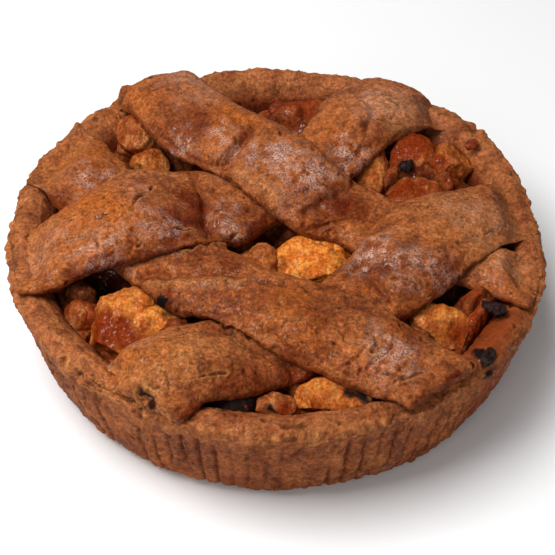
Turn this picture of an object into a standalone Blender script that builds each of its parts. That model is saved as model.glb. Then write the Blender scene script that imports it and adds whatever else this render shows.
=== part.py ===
"""Lattice apple pie, baked brown, on its own without a tin.

A fluted pastry cup holds a heap of apple filling. Four wide pastry strips are woven
over it, two each way, and their ends lie on the rim. Apple chunks and raisins show
in the openings between the strips.

Units are metres and +Z is up. The origin is the centre of the underside. Seen from
the front (looking along +Y), the strips that run down to the right are the "down"
strips, and those that run up to the right are the "up" strips.
"""

import math

import bmesh
import bpy
import numpy as np
from mathutils import Euler, Matrix, Vector, noise
from mathutils.bvhtree import BVHTree

MM = 0.001

# Pastry cup
RIM_RADIUS = 80 * MM
RIM_TOP = 38 * MM
WALL_THICKNESS = 8 * MM
FLOOR_THICKNESS = 6 * MM
INNER_LEAN = 3 * MM
INNER_SHOULDER = 7 * MM
RIM_INNER_DROP = 2.2 * MM
RIM_CREST_SHARE = 0.55
FLUTE_COUNT = 105
FLUTE_DEPTH = 0.6 * MM
FLUTE_FOOT = 2 * MM
FLUTE_HEAD = RIM_TOP - 4 * MM
OUTLINE_FADE = 1.5
RIM_WOBBLE = 0.9 * MM
RIM_WOBBLE_SIZE = 22 * MM

# The rim sinks under each strip end, and eases out past it by these angles
RIM_PRESS = 1.8 * MM
PRESS_PAST_END = 0.09
PRESS_EASE = 0.12

# Moves the finished pie so that its box is centred on the origin
CENTRE_SHIFT = Vector((0.17 * MM, 0.76 * MM, 0.0))

# Outer side of the wall from the rim down, as (radius, height) in millimetres
WALL_OUTSIDE = [(80, 36.2), (79.2, 31), (77.3, 22), (74.7, 11), (72, 3.6), (68.5, 0)]

# Uneven outline of the rim, as (degrees from +X, radius in millimetres)
RIM_OUTLINE = [
    (-150, 80.4), (-120, 79.7), (-90, 80.3), (-60, 79.8), (-35, 80.3), (-10, 79.9),
    (6, 78.4), (20, 79.8), (33, 81.0), (46, 82.3), (56, 80.2), (70, 79.2), (84, 77.4),
    (98, 79.4), (111, 78.2), (124, 80.0), (140, 80.4), (157, 81.6), (176, 78.8), (190, 80.4),
]

# Pastry strips
STRIP_THICKNESS = 4.2 * MM
THINNEST_PASTRY = 1.6 * MM
SHOULDER_DROP = 1.1 * MM
UNDERSIDE_ARCH = 0.8
STATIONS_ALONG = 28
COLUMNS_ACROSS = 7
STRIP_ROUGHNESS = 0.5 * MM
STRIP_ROUGHNESS_SIZE = 13 * MM
SHOULDER_POWER = 8
DRAPE_REACH = 2 * MM

# Gaps between pieces that touch. A piece that lies closer than TIGHTEST to another is
# drawn in by the share DRAW_IN, again and again
GAP = 0.3 * MM
CLEARANCE = 0.7 * MM
TIGHTEST = 0.36 * MM
DRAW_IN = 0.97
MOST_ROUNDS = 80
WELD = 0.01 * MM
ABOVE_PIE = 100 * MM
SPOTS_ACROSS = 5

# Filling
FILLING_TOP = 32 * MM
FILLING_WAIST = 19 * MM
FILLING_WAVE = 1.6 * MM
FILLING_WAVE_SIZE = 11 * MM
FILLING_REACH = 4.5 * MM
FILLING_COLUMNS = 54
FILLING_RINGS = 10

# Apple chunks and raisins
CHUNK_SEGMENTS = 12
LUMP_SEGMENTS = 8
LUMP_SIDES = (1.2, 1.0, 1.7)
LUMP_TILT = (12, -8)
LUMP_TURN = 47
LUMP_SEED = 20
CHUNK_BLUNTNESS = 3.5
CHUNK_UNEVENNESS = 0.25
CHUNK_WAVES = 3.0
RAISIN_WRINKLE = 0.22
RAISIN_WAVES = 5

# Each strip runs between two edges. A station gives the left edge point, the right
# edge point and how far the middle bulges above them, in millimetres, as seen when
# walking along the strip.
STRIPS = {
    "strip_down_back": [
        ((-30, 70, 41.5), (-55, 57, 41.5), 2.0),
        ((-23, 60, 43.0), (-47, 49, 42.0), 3.0),
        ((-16, 52, 44.0), (-41, 39, 42.5), 3.0),
        ((-9, 45, 45.0), (-33, 29, 43.5), 3.0),
        ((0, 38, 46.0), (-23, 21, 44.5), 3.0),
        ((9, 31, 46.0), (-13, 14, 45.0), 3.0),
        ((17, 23, 44.5), (-4, 5, 44.0), 2.5),
        ((25, 17, 41.5), (6, -2, 41.0), 2.0),
        ((36, 11, 39.5), (19, -8, 38.5), 1.0),
        ((49, 3, 38.5), (35, -13, 38.0), 0.5),
        ((61, -4, 38.5), (50, -18, 38.5), 1.0),
        ((70, -9, 39.5), (60, -23, 39.0), 1.0),
        ((78, -13, 39.0), (72, -31, 39.0), 0.8),
    ],
    "strip_up_back": [
        ((-79, -4, 39.0), (-73, -32, 39.0), 0.8),
        ((-71, -3, 40.0), (-65, -31, 40.0), 2.0),
        ((-62, 2, 42.5), (-57, -26, 42.0), 3.0),
        ((-54, 9, 44.5), (-47, -22, 43.5), 3.2),
        ((-45, 17, 44.0), (-36, -18, 43.5), 3.0),
        ((-36, 20, 42.0), (-24, -14, 41.5), 3.0),
        ((-26, 22, 40.0), (-13, -8, 39.5), 1.5),
        ((-14, 28, 38.5), (-1, 4, 38.0), 0.6),
        ((-2, 36, 38.5), (12, 15, 38.0), 0.6),
        ((7, 43, 40.0), (22, 24, 39.5), 2.0),
        ((11, 51, 41.5), (30, 34, 41.5), 3.8),
        ((16, 59, 42.0), (38, 43, 42.0), 3.8),
        ((23, 67, 41.0), (47, 49, 41.5), 2.4),
        ((31, 73, 39.5), (57, 55, 39.5), 0.8),
    ],
    "strip_down_front": [
        ((-65, 46, 39.0), (-78, 19, 39.0), 0.8),
        ((-58, 38, 39.5), (-70, 11, 39.0), 1.5),
        ((-50, 29, 39.0), (-62, 3, 38.5), 1.0),
        ((-41, 18, 38.5), (-54, -8, 38.0), 0.5),
        ((-31, 6, 38.5), (-46, -18, 38.0), 0.5),
        ((-22, -5, 39.5), (-38, -27, 38.5), 1.5),
        ((-13, -13, 40.0), (-30, -34, 39.0), 3.0),
        ((-3, -21, 41.5), (-19, -41, 40.5), 3.2),
        ((8, -27, 43.0), (-8, -48, 42.0), 3.0),
        ((20, -32, 43.5), (4, -56, 42.5), 3.0),
        ((32, -39, 42.5), (15, -60, 42.0), 3.0),
        ((44, -47, 40.8), (25, -65, 40.5), 2.5),
        ((56, -54, 40.0), (37, -70, 40.0), 1.5),
    ],
    "strip_up_front": [
        ((-51, -61, 40.0), (-24, -77, 40.0), 1.5),
        ((-41, -54, 41.0), (-17, -71, 40.5), 3.0),
        ((-31, -47, 41.5), (-8, -67, 40.0), 3.2),
        ((-21, -42, 40.0), (1, -62, 38.5), 2.0),
        ((-10, -37, 38.5), (11, -57, 38.0), 0.5),
        ((1, -33, 38.5), (24, -46, 38.0), 0.5),
        ((12, -26, 40.0), (36, -36, 39.5), 1.5),
        ((20, -18, 42.5), (45, -29, 41.5), 3.0),
        ((26, -8, 43.5), (54, -20, 42.5), 3.0),
        ((33, 4, 43.5), (62, -12, 42.5), 3.0),
        ((43, 12, 42.0), (69, -5, 41.5), 2.5),
        ((55, 17, 40.2), (75, 0, 40.0), 1.5),
        ((70, 24, 39.2), (79, 4, 39.2), 0.8),
    ],
}

# Which strip lies on which where they cross
CROSSINGS = [
    ("strip_down_back", "strip_up_back"),
    ("strip_up_back", "strip_down_front"),
    ("strip_down_front", "strip_up_front"),
    ("strip_up_front", "strip_down_back"),
]

# Apple chunks that show, as (centre, length by width by height, turn in degrees about
# X, Y and Z), in millimetres
CHUNKS = {
    "apple_middle": ((13, -9, 31), (23, 17, 11), (14, -6, -24)),
    "apple_middle_brown": ((-5, -10, 29.5), (13, 12, 11), (6, 16, 28)),
    "apple_left": ((-39, -36, 30.5), (25, 19, 13), (14, -2, 28)),
    "apple_left_low": ((-54, -34, 29), (12, 8, 9), (0, 10, 118)),
    "apple_back_left": ((-47, 49, 31), (22, 12, 11), (0, 10, 112)),
    "apple_back_left_low": ((-41, 34, 30), (9, 9, 9), (12, 0, 30)),
    "apple_back_right": ((29, 35, 31.5), (21, 8, 10), (0, -12, 82)),
    "apple_glazed": ((42, 40, 33), (14, 11, 10), (8, 0, 20)),
    "apple_beside_glazed": ((53, 36, 32.5), (11, 10, 10), (0, 14, -40)),
    "apple_back_right_low": ((42, 23, 30), (17, 10, 9), (8, 0, 4)),
    "apple_right": ((46, -33, 30.5), (18, 12, 10), (14, 6, -14)),
    "apple_front": ((20, -63, 32.5), (23, 9, 9), (10, 0, 2)),
    "apple_front_burnt": ((-11, -67, 31.5), (13, 8, 8), (0, -8, -6)),
    "apple_front_small": ((1, -66, 31), (8, 6, 7), (0, 0, 10)),
}

# Raisins that show, as (centre, length by width by height, turn about Z in degrees)
RAISINS = {
    "raisin_back_left": ((-1, 59, 34.5), (8.5, 6.5, 5), 20),
    "raisin_back_right": ((9, 61, 34.5), (9, 6.5, 5), -15),
    "raisin_glazed": ((40, 31, 37), (6, 4.5, 4), 30),
    "raisin_rim": ((62, 42, 40), (6, 4.5, 3), 60),
    "raisin_burnt": ((62, -32.5, 40), (9, 5.5, 3.2), -30),
    "raisin_corner": ((61.5, -52, 39.8), (8, 4.5, 3), 62),
}

# Smaller pieces fused to the filling, as (x, y, height of the middle, size)
FUSED_PIECES = [
    (-16, -57, 27, 9), (9, -57, 27, 9), (33, -52, 28, 9), (41, -43, 28, 10),
    (56, -25, 27, 9), (-37, -53, 26, 9), (-57, -25, 26, 9), (-28, -44, 28, 9),
    (-34, 44, 26, 8), (-16, 58, 27, 8), (3, 54, 28, 9), (17, 55, 27, 8),
    (34, 28, 26, 8), (51, 26, 26, 8), (-12, 0, 27, 8), (-62, 8, 28, 7),
]

# Deep dark hollows between the pieces, as (x, y, radius, depth)
HOLLOWS = [
    (-51, -20, 9, 12), (51, -18, 7, 12), (-37, 36, 6, 9), (-9, 63, 8, 8),
    (-2, 3, 6, 7), (11, -58, 6, 8), (39, 29, 5, 7), (55, 28, 5, 6), (-69, 10, 5, 5),
]

COLOURS = {
    "crust": (0.42, 0.19, 0.075),
    "strip": (0.36, 0.145, 0.05),
    "filling": (0.22, 0.07, 0.025),
    "apple": (0.62, 0.29, 0.08),
    "raisin": (0.06, 0.018, 0.01),
}
ROUGHNESS = {"crust": 0.75, "strip": 0.6, "filling": 0.35, "apple": 0.35, "raisin": 0.4}


def clear_scene():
    """Empty the scene, so the pie is all that it holds."""
    for old in list(bpy.data.objects):
        bpy.data.objects.remove(old, do_unlink=True)


def pie_collection():
    """The collection that the pie's pieces go in."""
    collection = bpy.data.collections.new("lattice_apple_pie")
    bpy.context.scene.collection.children.link(collection)
    return collection


def food_material(name, kind):
    """A Principled material for one piece, in the colour of its kind."""
    material = bpy.data.materials.new(name)
    material.use_nodes = True
    shader = material.node_tree.nodes["Principled BSDF"]
    shader.inputs["Base Color"].default_value = (*COLOURS[kind], 1.0)
    shader.inputs["Roughness"].default_value = ROUGHNESS[kind]
    shader.inputs["Metallic"].default_value = 0.0
    return material


def add_piece(collection, name, mesh, kind):
    """Link a finished mesh to the scene as one named piece."""
    mesh.name = name
    mesh.materials.clear()
    mesh.materials.append(food_material(name, kind))
    mesh.transform(Matrix.Translation(CENTRE_SHIFT))
    mesh.shade_smooth()
    piece = bpy.data.objects.new(name, mesh)
    collection.objects.link(piece)


def mesh_from(bm):
    """Turn a bmesh into a mesh of triangles that face out, listed in a fixed order."""
    bmesh.ops.recalc_face_normals(bm, faces=bm.faces)
    bmesh.ops.triangulate(bm, faces=bm.faces)
    bm.verts.index_update()
    corners = [vertex.co.copy() for vertex in bm.verts]
    faces = []
    for face in bm.faces:
        ring = [vertex.index for vertex in face.verts]
        first = ring.index(min(ring))
        faces.append(ring[first:] + ring[:first])
    bm.free()
    mesh = bpy.data.meshes.new("piece")
    mesh.from_pydata(corners, [], sorted(faces))
    return mesh


def tree_of(mesh):
    """A search tree over a mesh, for finding what lies above or below a point."""
    corners = [vertex.co.copy() for vertex in mesh.vertices]
    faces = [tuple(face.vertices) for face in mesh.polygons]
    return BVHTree.FromPolygons(corners, faces)


def smooth_row(rows, count):
    """Read a smooth curve through the rows at evenly spaced places."""
    rows = np.array(rows, dtype=float)
    padded = np.vstack([2 * rows[0] - rows[1], rows, 2 * rows[-1] - rows[-2]])
    places = np.linspace(0, len(rows) - 1, count)
    result = []
    for place in places:
        start = min(int(place), len(rows) - 2)
        u = place - start
        before, here, there, after = padded[start:start + 4]
        result.append(0.5 * (2 * here + (there - before) * u
                             + (2 * before - 5 * here + 4 * there - after) * u ** 2
                             + (3 * here - before - 3 * there + after) * u ** 3))
    return np.array(result)


def rim_scale(angle):
    """How far out the rim reaches at an angle, against its mean radius."""
    degrees = math.degrees(angle) % 360
    table = sorted((spot % 360, radius) for spot, radius in RIM_OUTLINE)
    spots = [table[-1][0] - 360] + [spot for spot, _ in table] + [table[0][0] + 360]
    radii = [table[-1][1]] + [radius for _, radius in table] + [table[0][1]]
    return float(np.interp(degrees, spots, radii)) * MM / RIM_RADIUS


def strip_end_angles():
    """The angle and half spread of each strip end that lies on the rim."""
    ends = []
    for stations in STRIPS.values():
        for left, right, _ in (stations[0], stations[-1]):
            a = math.atan2(left[1], left[0])
            b = math.atan2(right[1], right[0])
            spread = (b - a + math.pi) % (2 * math.pi) - math.pi
            ends.append((a + spread / 2, abs(spread) / 2))
    return ends


def rim_pressing(angle, ends):
    """How far the rim is pressed down where a strip end lies on it."""
    pressed = 0.0
    for centre, half in ends:
        off = abs((angle - centre + math.pi) % (2 * math.pi) - math.pi)
        fade = min(max((half + PRESS_PAST_END - off) / PRESS_EASE, 0.0), 1.0)
        pressed = max(pressed, fade * fade * (3 - 2 * fade))
    return RIM_PRESS * pressed


def outline_scale(x, y, z):
    """How far the baking has moved a place of the cup out from the axis."""
    height = min(max(z / RIM_TOP, 0.0), 1.0)
    return 1 + (rim_scale(math.atan2(y, x)) - 1) * height ** OUTLINE_FADE


def bake_unevenly(mesh):
    """Give a turned mesh the uneven outline of the baked rim."""
    for vertex in mesh.vertices:
        x, y, z = vertex.co
        scale = outline_scale(x, y, z)
        vertex.co = Vector((x * scale, y * scale, z))


def press_flutes(mesh):
    """Press the upright grooves of the tin into the outside of the wall."""
    for vertex in mesh.vertices:
        x, y, z = vertex.co
        radius = math.hypot(x, y)
        column = round(math.atan2(y, x) / math.pi * FLUTE_COUNT)
        outside = radius > WALL_OUTSIDE[-2][0] * MM - GAP
        if outside and FLUTE_FOOT < z < FLUTE_HEAD and column % 2:
            sunk = 1 - FLUTE_DEPTH / radius
            vertex.co = Vector((x * sunk, y * sunk, z))


def lower_rim(mesh):
    """Let the rim rise and fall, and sink under the strips' ends."""
    ends = strip_end_angles()
    for vertex in mesh.vertices:
        x, y, z = vertex.co
        if z > RIM_TOP - INNER_SHOULDER + GAP:
            spot = Vector((x, y, 0)) / RIM_WOBBLE_SIZE
            vertex.co.z += noise.noise(spot) * RIM_WOBBLE - rim_pressing(math.atan2(y, x), ends)


def turned(profile, columns):
    """Spin a profile round the upright axis, into a closed mesh."""
    mesh = bpy.data.meshes.new("profile")
    points = [(radius, 0.0, height) for radius, height in profile]
    mesh.from_pydata(points, [(i, i + 1) for i in range(len(points) - 1)], [])
    spun = bpy.data.objects.new("profile", mesh)
    bpy.context.scene.collection.objects.link(spun)
    screw = spun.modifiers.new("turn", "SCREW")
    screw.steps = columns
    screw.render_steps = columns
    screw.use_merge_vertices = True
    screw.merge_threshold = WELD
    evaluated = spun.evaluated_get(bpy.context.evaluated_depsgraph_get())
    result = bpy.data.meshes.new_from_object(evaluated)
    bpy.data.objects.remove(spun, do_unlink=True)
    bpy.data.meshes.remove(mesh)
    return result


def crust_profile():
    """Section of the cup from the floor's middle, up inside, over and down outside."""
    outside = [(radius * MM, height * MM) for radius, height in WALL_OUTSIDE]
    rim, foot = outside[0][0], outside[-2][0]
    inside = [
        (0.0, FLOOR_THICKNESS),
        (foot - WALL_THICKNESS - INNER_LEAN, FLOOR_THICKNESS),
        (rim - WALL_THICKNESS - INNER_LEAN, RIM_TOP - INNER_SHOULDER),
        (rim - WALL_THICKNESS, RIM_TOP - RIM_INNER_DROP),
        (rim - WALL_THICKNESS * RIM_CREST_SHARE, RIM_TOP),
    ]
    return inside + outside + [(0.0, 0.0)]


def triangles_of(mesh):
    """The same mesh in triangles that face out."""
    bm = bmesh.new()
    bm.from_mesh(mesh)
    bpy.data.meshes.remove(mesh)
    return mesh_from(bm)


def make_crust():
    """The pastry cup, with its flutes and its uneven rim."""
    mesh = turned(crust_profile(), FLUTE_COUNT * 2)
    press_flutes(mesh)
    lower_rim(mesh)
    bake_unevenly(mesh)
    return triangles_of(mesh)


def strip_grids(stations):
    """Top and underside of one strip as grids of points, before it is draped."""
    left = smooth_row([row[0] for row in stations], STATIONS_ALONG + 1) * MM
    right = smooth_row([row[1] for row in stations], STATIONS_ALONG + 1) * MM
    bulge = smooth_row([[row[2]] for row in stations], STATIONS_ALONG + 1)[:, 0] * MM
    even = np.linspace(-1, 1, COLUMNS_ACROSS + 1)
    across = (even + np.sin(even * math.pi / 2)) / 2
    share = ((1 + across) / 2)[None, :, None]
    top = left[:, None] * (1 - share) + right[:, None] * share
    under = top.copy()
    arch = bulge[:, None] * (1 - across[None, :] ** 2)
    top[:, :, 2] += arch - SHOULDER_DROP * across[None, :] ** SHOULDER_POWER
    under[:, :, 2] += UNDERSIDE_ARCH * arch - STRIP_THICKNESS
    for row in top:
        for point in row:
            point[2] += noise.noise(Vector(point) / STRIP_ROUGHNESS_SIZE) * STRIP_ROUGHNESS
    return top, under


def spots_round(x, y, reach):
    """A grid of places round a place, as far out as reach on each side."""
    steps = np.linspace(-reach, reach, SPOTS_ACROSS)
    return [(x + dx, y + dy) for dx in steps for dy in steps]


def highest_below(tree, x, y, reach):
    """Highest surface of a tree within reach of a place, or None."""
    highest = None
    for spot_x, spot_y in spots_round(x, y, reach):
        start = Vector((spot_x, spot_y, ABOVE_PIE))
        hit = tree.ray_cast(start, Vector((0, 0, -1)))[0]
        if hit is not None and (highest is None or hit.z > highest):
            highest = hit.z
    return highest


def lowest_above(trees, x, y, reach):
    """Lowest underside above the filling's floor within reach of a place, or None."""
    lowest = None
    for spot_x, spot_y in spots_round(x, y, reach):
        start = Vector((spot_x, spot_y, FLOOR_THICKNESS))
        for tree in trees:
            hit = tree.ray_cast(start, Vector((0, 0, 1)))[0]
            if hit is not None and (lowest is None or hit.z < lowest):
                lowest = hit.z
    return lowest


def grid_tree(grid):
    """A search tree over one grid of points."""
    rows, columns = grid.shape[:2]
    corners = [Vector(point) for point in grid.reshape(-1, 3)]
    faces = []
    for i in range(rows - 1):
        for j in range(columns - 1):
            a = i * columns + j
            faces.append((a, a + 1, a + columns + 1, a + columns))
    return BVHTree.FromPolygons(corners, faces)


def drape(top, under, tree):
    """Raise a strip wherever it would touch what lies under it."""
    for i in range(under.shape[0]):
        for j in range(under.shape[1]):
            x, y, z = under[i, j]
            support = highest_below(tree, x, y, DRAPE_REACH)
            if support is not None:
                under[i, j, 2] = max(z, support + CLEARANCE)
            top[i, j, 2] = max(top[i, j, 2], under[i, j, 2] + THINNEST_PASTRY)


def strip_mesh(top, under):
    """Close a strip's top and underside into one body."""
    rows, columns = top.shape[:2]
    bm = bmesh.new()
    upper = [[bm.verts.new(point) for point in row] for row in top]
    lower = [[bm.verts.new(point) for point in row] for row in under]
    for i in range(rows - 1):
        for j in range(columns - 1):
            bm.faces.new((upper[i][j], upper[i][j + 1], upper[i + 1][j + 1], upper[i + 1][j]))
            bm.faces.new((lower[i][j], lower[i + 1][j], lower[i + 1][j + 1], lower[i][j + 1]))
    for i in range(rows - 1):
        for j in (0, columns - 1):
            bm.faces.new((upper[i][j], upper[i + 1][j], lower[i + 1][j], lower[i][j]))
    for j in range(columns - 1):
        for i in (0, rows - 1):
            bm.faces.new((upper[i][j], lower[i][j], lower[i][j + 1], upper[i][j + 1]))
    return mesh_from(bm)


def make_strips(crust):
    """The four woven strips, draped over the rim and over each other."""
    grids = {name: strip_grids(stations) for name, stations in STRIPS.items()}
    crust_tree = tree_of(crust)
    for top, under in grids.values():
        drape(top, under, crust_tree)
    tops = {name: grid_tree(top) for name, (top, _) in grids.items()}
    for over, beneath in CROSSINGS:
        drape(*grids[over], tops[beneath])
    return {name: strip_mesh(top, under) for name, (top, under) in grids.items()}


def chunk_body(size, seed, segments):
    """A rough apple chunk about the origin, with blunt corners."""
    bm = bmesh.new()
    bmesh.ops.create_uvsphere(bm, u_segments=segments, v_segments=segments - 3, radius=1.0)
    shift = Vector((seed * 3.7, seed * 1.9, seed * 5.3))
    for vertex in bm.verts:
        spread = sum(abs(co) ** CHUNK_BLUNTNESS for co in vertex.co) ** (1 / CHUNK_BLUNTNESS)
        vertex.co = vertex.co * 0.5 / spread
        vertex.co *= 1 + noise.noise(vertex.co * CHUNK_WAVES + shift) * CHUNK_UNEVENNESS
        vertex.co = Vector(co * side * MM for co, side in zip(vertex.co, size))
    return bm


def raisin_body(size, seed):
    """A raisin about the origin, wrinkled and a little flat."""
    bm = bmesh.new()
    bmesh.ops.create_icosphere(bm, subdivisions=2, radius=0.5)
    shift = Vector((seed * 2.1, seed * 4.3, seed * 1.7))
    for vertex in bm.verts:
        wrinkle = 1 + noise.noise(vertex.co * RAISIN_WAVES + shift) * RAISIN_WRINKLE
        vertex.co = Vector(co * side * MM for co, side in zip(vertex.co * wrinkle, size))
    return bm


def placed(bm, centre, turn):
    """Turn a body and move it to its place."""
    angles = Euler([math.radians(angle) for angle in turn])
    place = Matrix.Translation(Vector(centre) * MM) @ angles.to_matrix().to_4x4()
    bmesh.ops.transform(bm, matrix=place, verts=bm.verts)
    return bm


def spots_of(corners, faces):
    """Places on each face: its middle, and the corners and middles of its edges."""
    triangles = np.array(corners)[np.array(faces)]
    middles = (triangles + np.roll(triangles, 1, axis=1)) / 2
    return np.concatenate([triangles, middles, triangles.mean(axis=1, keepdims=True)], axis=1)


def mesh_data(mesh):
    """A mesh's corners and its faces, as lists."""
    return [vertex.co.copy() for vertex in mesh.vertices], [tuple(f.vertices) for f in mesh.polygons]


def spots_near(neighbours, corners):
    """Places on the neighbours that lie in the box round some corners."""
    low = np.array(corners).min(axis=0) - CLEARANCE
    high = np.array(corners).max(axis=0) + CLEARANCE
    spots = np.vstack([spots_of(*mesh_data(other)).reshape(-1, 3) for other in neighbours])
    spots = np.unique(spots[((spots > low) & (spots < high)).all(axis=1)], axis=0)
    return [Vector(spot) for spot in spots]


def tight_corners(corners, faces, middle, trees, spots):
    """Numbers of the corners whose faces touch or nearly touch a neighbour."""
    tight = set()
    for face, places in zip(faces, spots_of(corners, faces)):
        for place in places:
            arm = Vector(place) - middle
            for tree in trees:
                if (tree.find_nearest(place, TIGHTEST)[0] is not None
                        or tree.ray_cast(middle, arm, arm.length)[0] is not None):
                    tight.update(face)
    own = BVHTree.FromPolygons(corners, faces)
    for spot in spots:
        place, normal, index, distance = own.find_nearest(spot)
        if distance < TIGHTEST or (spot - place).dot(normal) < 0:
            tight.update(faces[index])
    return sorted(tight)


def draw_in(bm, middle, neighbours):
    """Draw a soft body in towards its middle wherever it would touch its neighbours."""
    mesh = mesh_from(bm)
    corners, faces = mesh_data(mesh)
    trees = [tree_of(other) for other in neighbours]
    spots = spots_near(neighbours, corners)
    for number, corner in enumerate(corners):
        arm = corner - middle
        for tree in trees:
            reach = tree.ray_cast(middle, arm, arm.length)[3]
            if reach is not None:
                arm = arm.normalized() * max(reach - CLEARANCE, CLEARANCE)
        corners[number] = middle + arm
    for _ in range(MOST_ROUNDS):
        tight = tight_corners(corners, faces, middle, trees, spots)
        if not tight:
            break
        for number in tight:
            corners[number] = middle + (corners[number] - middle) * DRAW_IN
    for vertex, corner in zip(mesh.vertices, corners):
        vertex.co = corner
    return mesh


def make_pieces(neighbours):
    """The apple chunks and raisins that show, each clear of what is round it."""
    pieces = {}
    settled = list(neighbours)
    for seed, (name, (centre, size, turn)) in enumerate(CHUNKS.items(), start=1):
        body = placed(chunk_body(size, seed, CHUNK_SEGMENTS), centre, turn)
        pieces[name] = (draw_in(body, Vector(centre) * MM, settled), "apple")
        settled.append(pieces[name][0])
    for seed, (name, (centre, size, turn)) in enumerate(RAISINS.items(), start=1):
        body = placed(raisin_body(size, seed), centre, (0, 0, turn))
        pieces[name] = (draw_in(body, Vector(centre) * MM, settled), "raisin")
        settled.append(pieces[name][0])
    return pieces


def filling_radius(height):
    """How far out the filling reaches at a height, clear of the cup's inner side."""
    _, floor, shoulder = crust_profile()[:3]
    wall = np.interp(height, (floor[1], shoulder[1]), (floor[0], shoulder[0]))
    return float(wall) - 2 * GAP


def kept_in_cup(x, y, z):
    """A place of the filling, moved in far enough to stay clear of the cup."""
    furthest = filling_radius(z) * outline_scale(x, y, z)
    inward = min(furthest / max(math.hypot(x, y), WELD), 1.0)
    return Vector((x * inward, y * inward, z))


def filling_profile():
    """Section of the filling: its top from the middle out, then down the cup's wall."""
    bottom = FLOOR_THICKNESS + 2 * GAP
    top_radius = filling_radius(FILLING_TOP)
    rings = [(top_radius * i / FILLING_RINGS, FILLING_TOP) for i in range(FILLING_RINGS + 1)]
    return rings + [
        (filling_radius(FILLING_WAIST), FILLING_WAIST),
        (filling_radius(bottom), bottom),
        (0.0, bottom),
    ]


def filling_core(trees):
    """The heap that fills the cup, with its hollows, as it lies under everything."""
    mesh = turned(filling_profile(), FILLING_COLUMNS)
    bake_unevenly(mesh)
    mesh = triangles_of(mesh)
    for vertex in mesh.vertices:
        x, y, z = vertex.co
        if z < FILLING_TOP - MM:
            continue
        z += noise.noise(Vector((x, y, 0)) / FILLING_WAVE_SIZE) * FILLING_WAVE
        for spot_x, spot_y, radius, depth in HOLLOWS:
            away = math.hypot(x / MM - spot_x, y / MM - spot_y) / radius
            z -= depth * MM * math.exp(-away * away)
        ceiling = lowest_above(trees, x, y, FILLING_REACH)
        vertex.co = kept_in_cup(x, y, z if ceiling is None else min(z, ceiling - CLEARANCE))
    return mesh


def press_down(mesh, spots):
    """Press the filling down under the places of the pieces that lie on it."""
    faces = mesh_data(mesh)[1]
    down = Vector((0, 0, -1))
    for _ in range(MOST_ROUNDS):
        tree = tree_of(mesh)
        lowered = {}
        for spot in spots:
            top, _, index, _ = tree.ray_cast(Vector((spot[0], spot[1], ABOVE_PIE)), down)
            if top is not None and top.z > spot[2] - CLEARANCE:
                for corner in faces[index]:
                    lowered[corner] = max(lowered.get(corner, 0.0), top.z - spot[2] + CLEARANCE)
            index = tree.find_nearest(spot, TIGHTEST)[2]
            if index is not None:
                for corner in faces[index]:
                    lowered[corner] = max(lowered.get(corner, 0.0), TIGHTEST)
        if not lowered:
            break
        for corner, drop in lowered.items():
            x, y, z = mesh.vertices[corner].co
            mesh.vertices[corner].co = kept_in_cup(x, y, z - drop)


def combined(mesh, others):
    """Join a mesh with others by one Boolean union."""
    body = bpy.data.objects.new("body", mesh)
    bpy.context.scene.collection.objects.link(body)
    group = bpy.data.collections.new("lumps")
    bpy.context.scene.collection.children.link(group)
    for other in others:
        group.objects.link(bpy.data.objects.new("lump", other))
    boolean = body.modifiers.new("union", "BOOLEAN")
    boolean.operation = "UNION"
    boolean.operand_type = "COLLECTION"
    boolean.collection = group
    boolean.solver = "MANIFOLD"
    evaluated = body.evaluated_get(bpy.context.evaluated_depsgraph_get())
    result = bpy.data.meshes.new_from_object(evaluated)
    for used in list(group.objects) + [body]:
        bpy.data.objects.remove(used, do_unlink=True)
    bpy.data.collections.remove(group)
    return triangles_of(result)


def make_filling(cup, lying_on_it):
    """The apple filling, with its smaller pieces fused on."""
    core = filling_core([tree_of(mesh) for mesh in lying_on_it])
    spots = np.vstack([spots_of(*mesh_data(mesh)).reshape(-1, 3) for mesh in lying_on_it])
    press_down(core, np.unique(spots, axis=0))
    lumps = []
    for seed, (x, y, z, size) in enumerate(FUSED_PIECES, start=LUMP_SEED):
        sides = [size * share for share in LUMP_SIDES]
        body = chunk_body(sides, seed, LUMP_SEGMENTS)
        lump = placed(body, (x, y, z), (*LUMP_TILT, seed * LUMP_TURN))
        lumps.append(draw_in(lump, Vector((x, y, z)) * MM, [cup] + lying_on_it))
    return combined(core, lumps)


clear_scene()
pie = pie_collection()
crust_mesh = make_crust()
strip_meshes = make_strips(crust_mesh)
piece_meshes = make_pieces([crust_mesh] + list(strip_meshes.values()))
lying_on_filling = list(strip_meshes.values()) + [mesh for mesh, _ in piece_meshes.values()]
filling_mesh = make_filling(crust_mesh, lying_on_filling)
add_piece(pie, "crust", crust_mesh, "crust")
add_piece(pie, "filling", filling_mesh, "filling")
for name, mesh in strip_meshes.items():
    add_piece(pie, name, mesh, "strip")
for name, (mesh, kind) in piece_meshes.items():
    add_piece(pie, name, mesh, kind)
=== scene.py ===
"""Looks of the lattice apple pie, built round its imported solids.

Tables and relief are in millimetres, in the pie's own frame: X to the right, Y away from
the camera, Z up, with the origin in the middle of the underside. Each piece starts from
the solid that it replaces, gets a fine surface, and then its relief and its colours, which
are set by place and by repeatable waves of noise.
"""

import itertools
import math

import bmesh
import bpy
import numpy as np
from mathutils import Matrix, Vector
from mathutils.bvhtree import BVHTree


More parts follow.
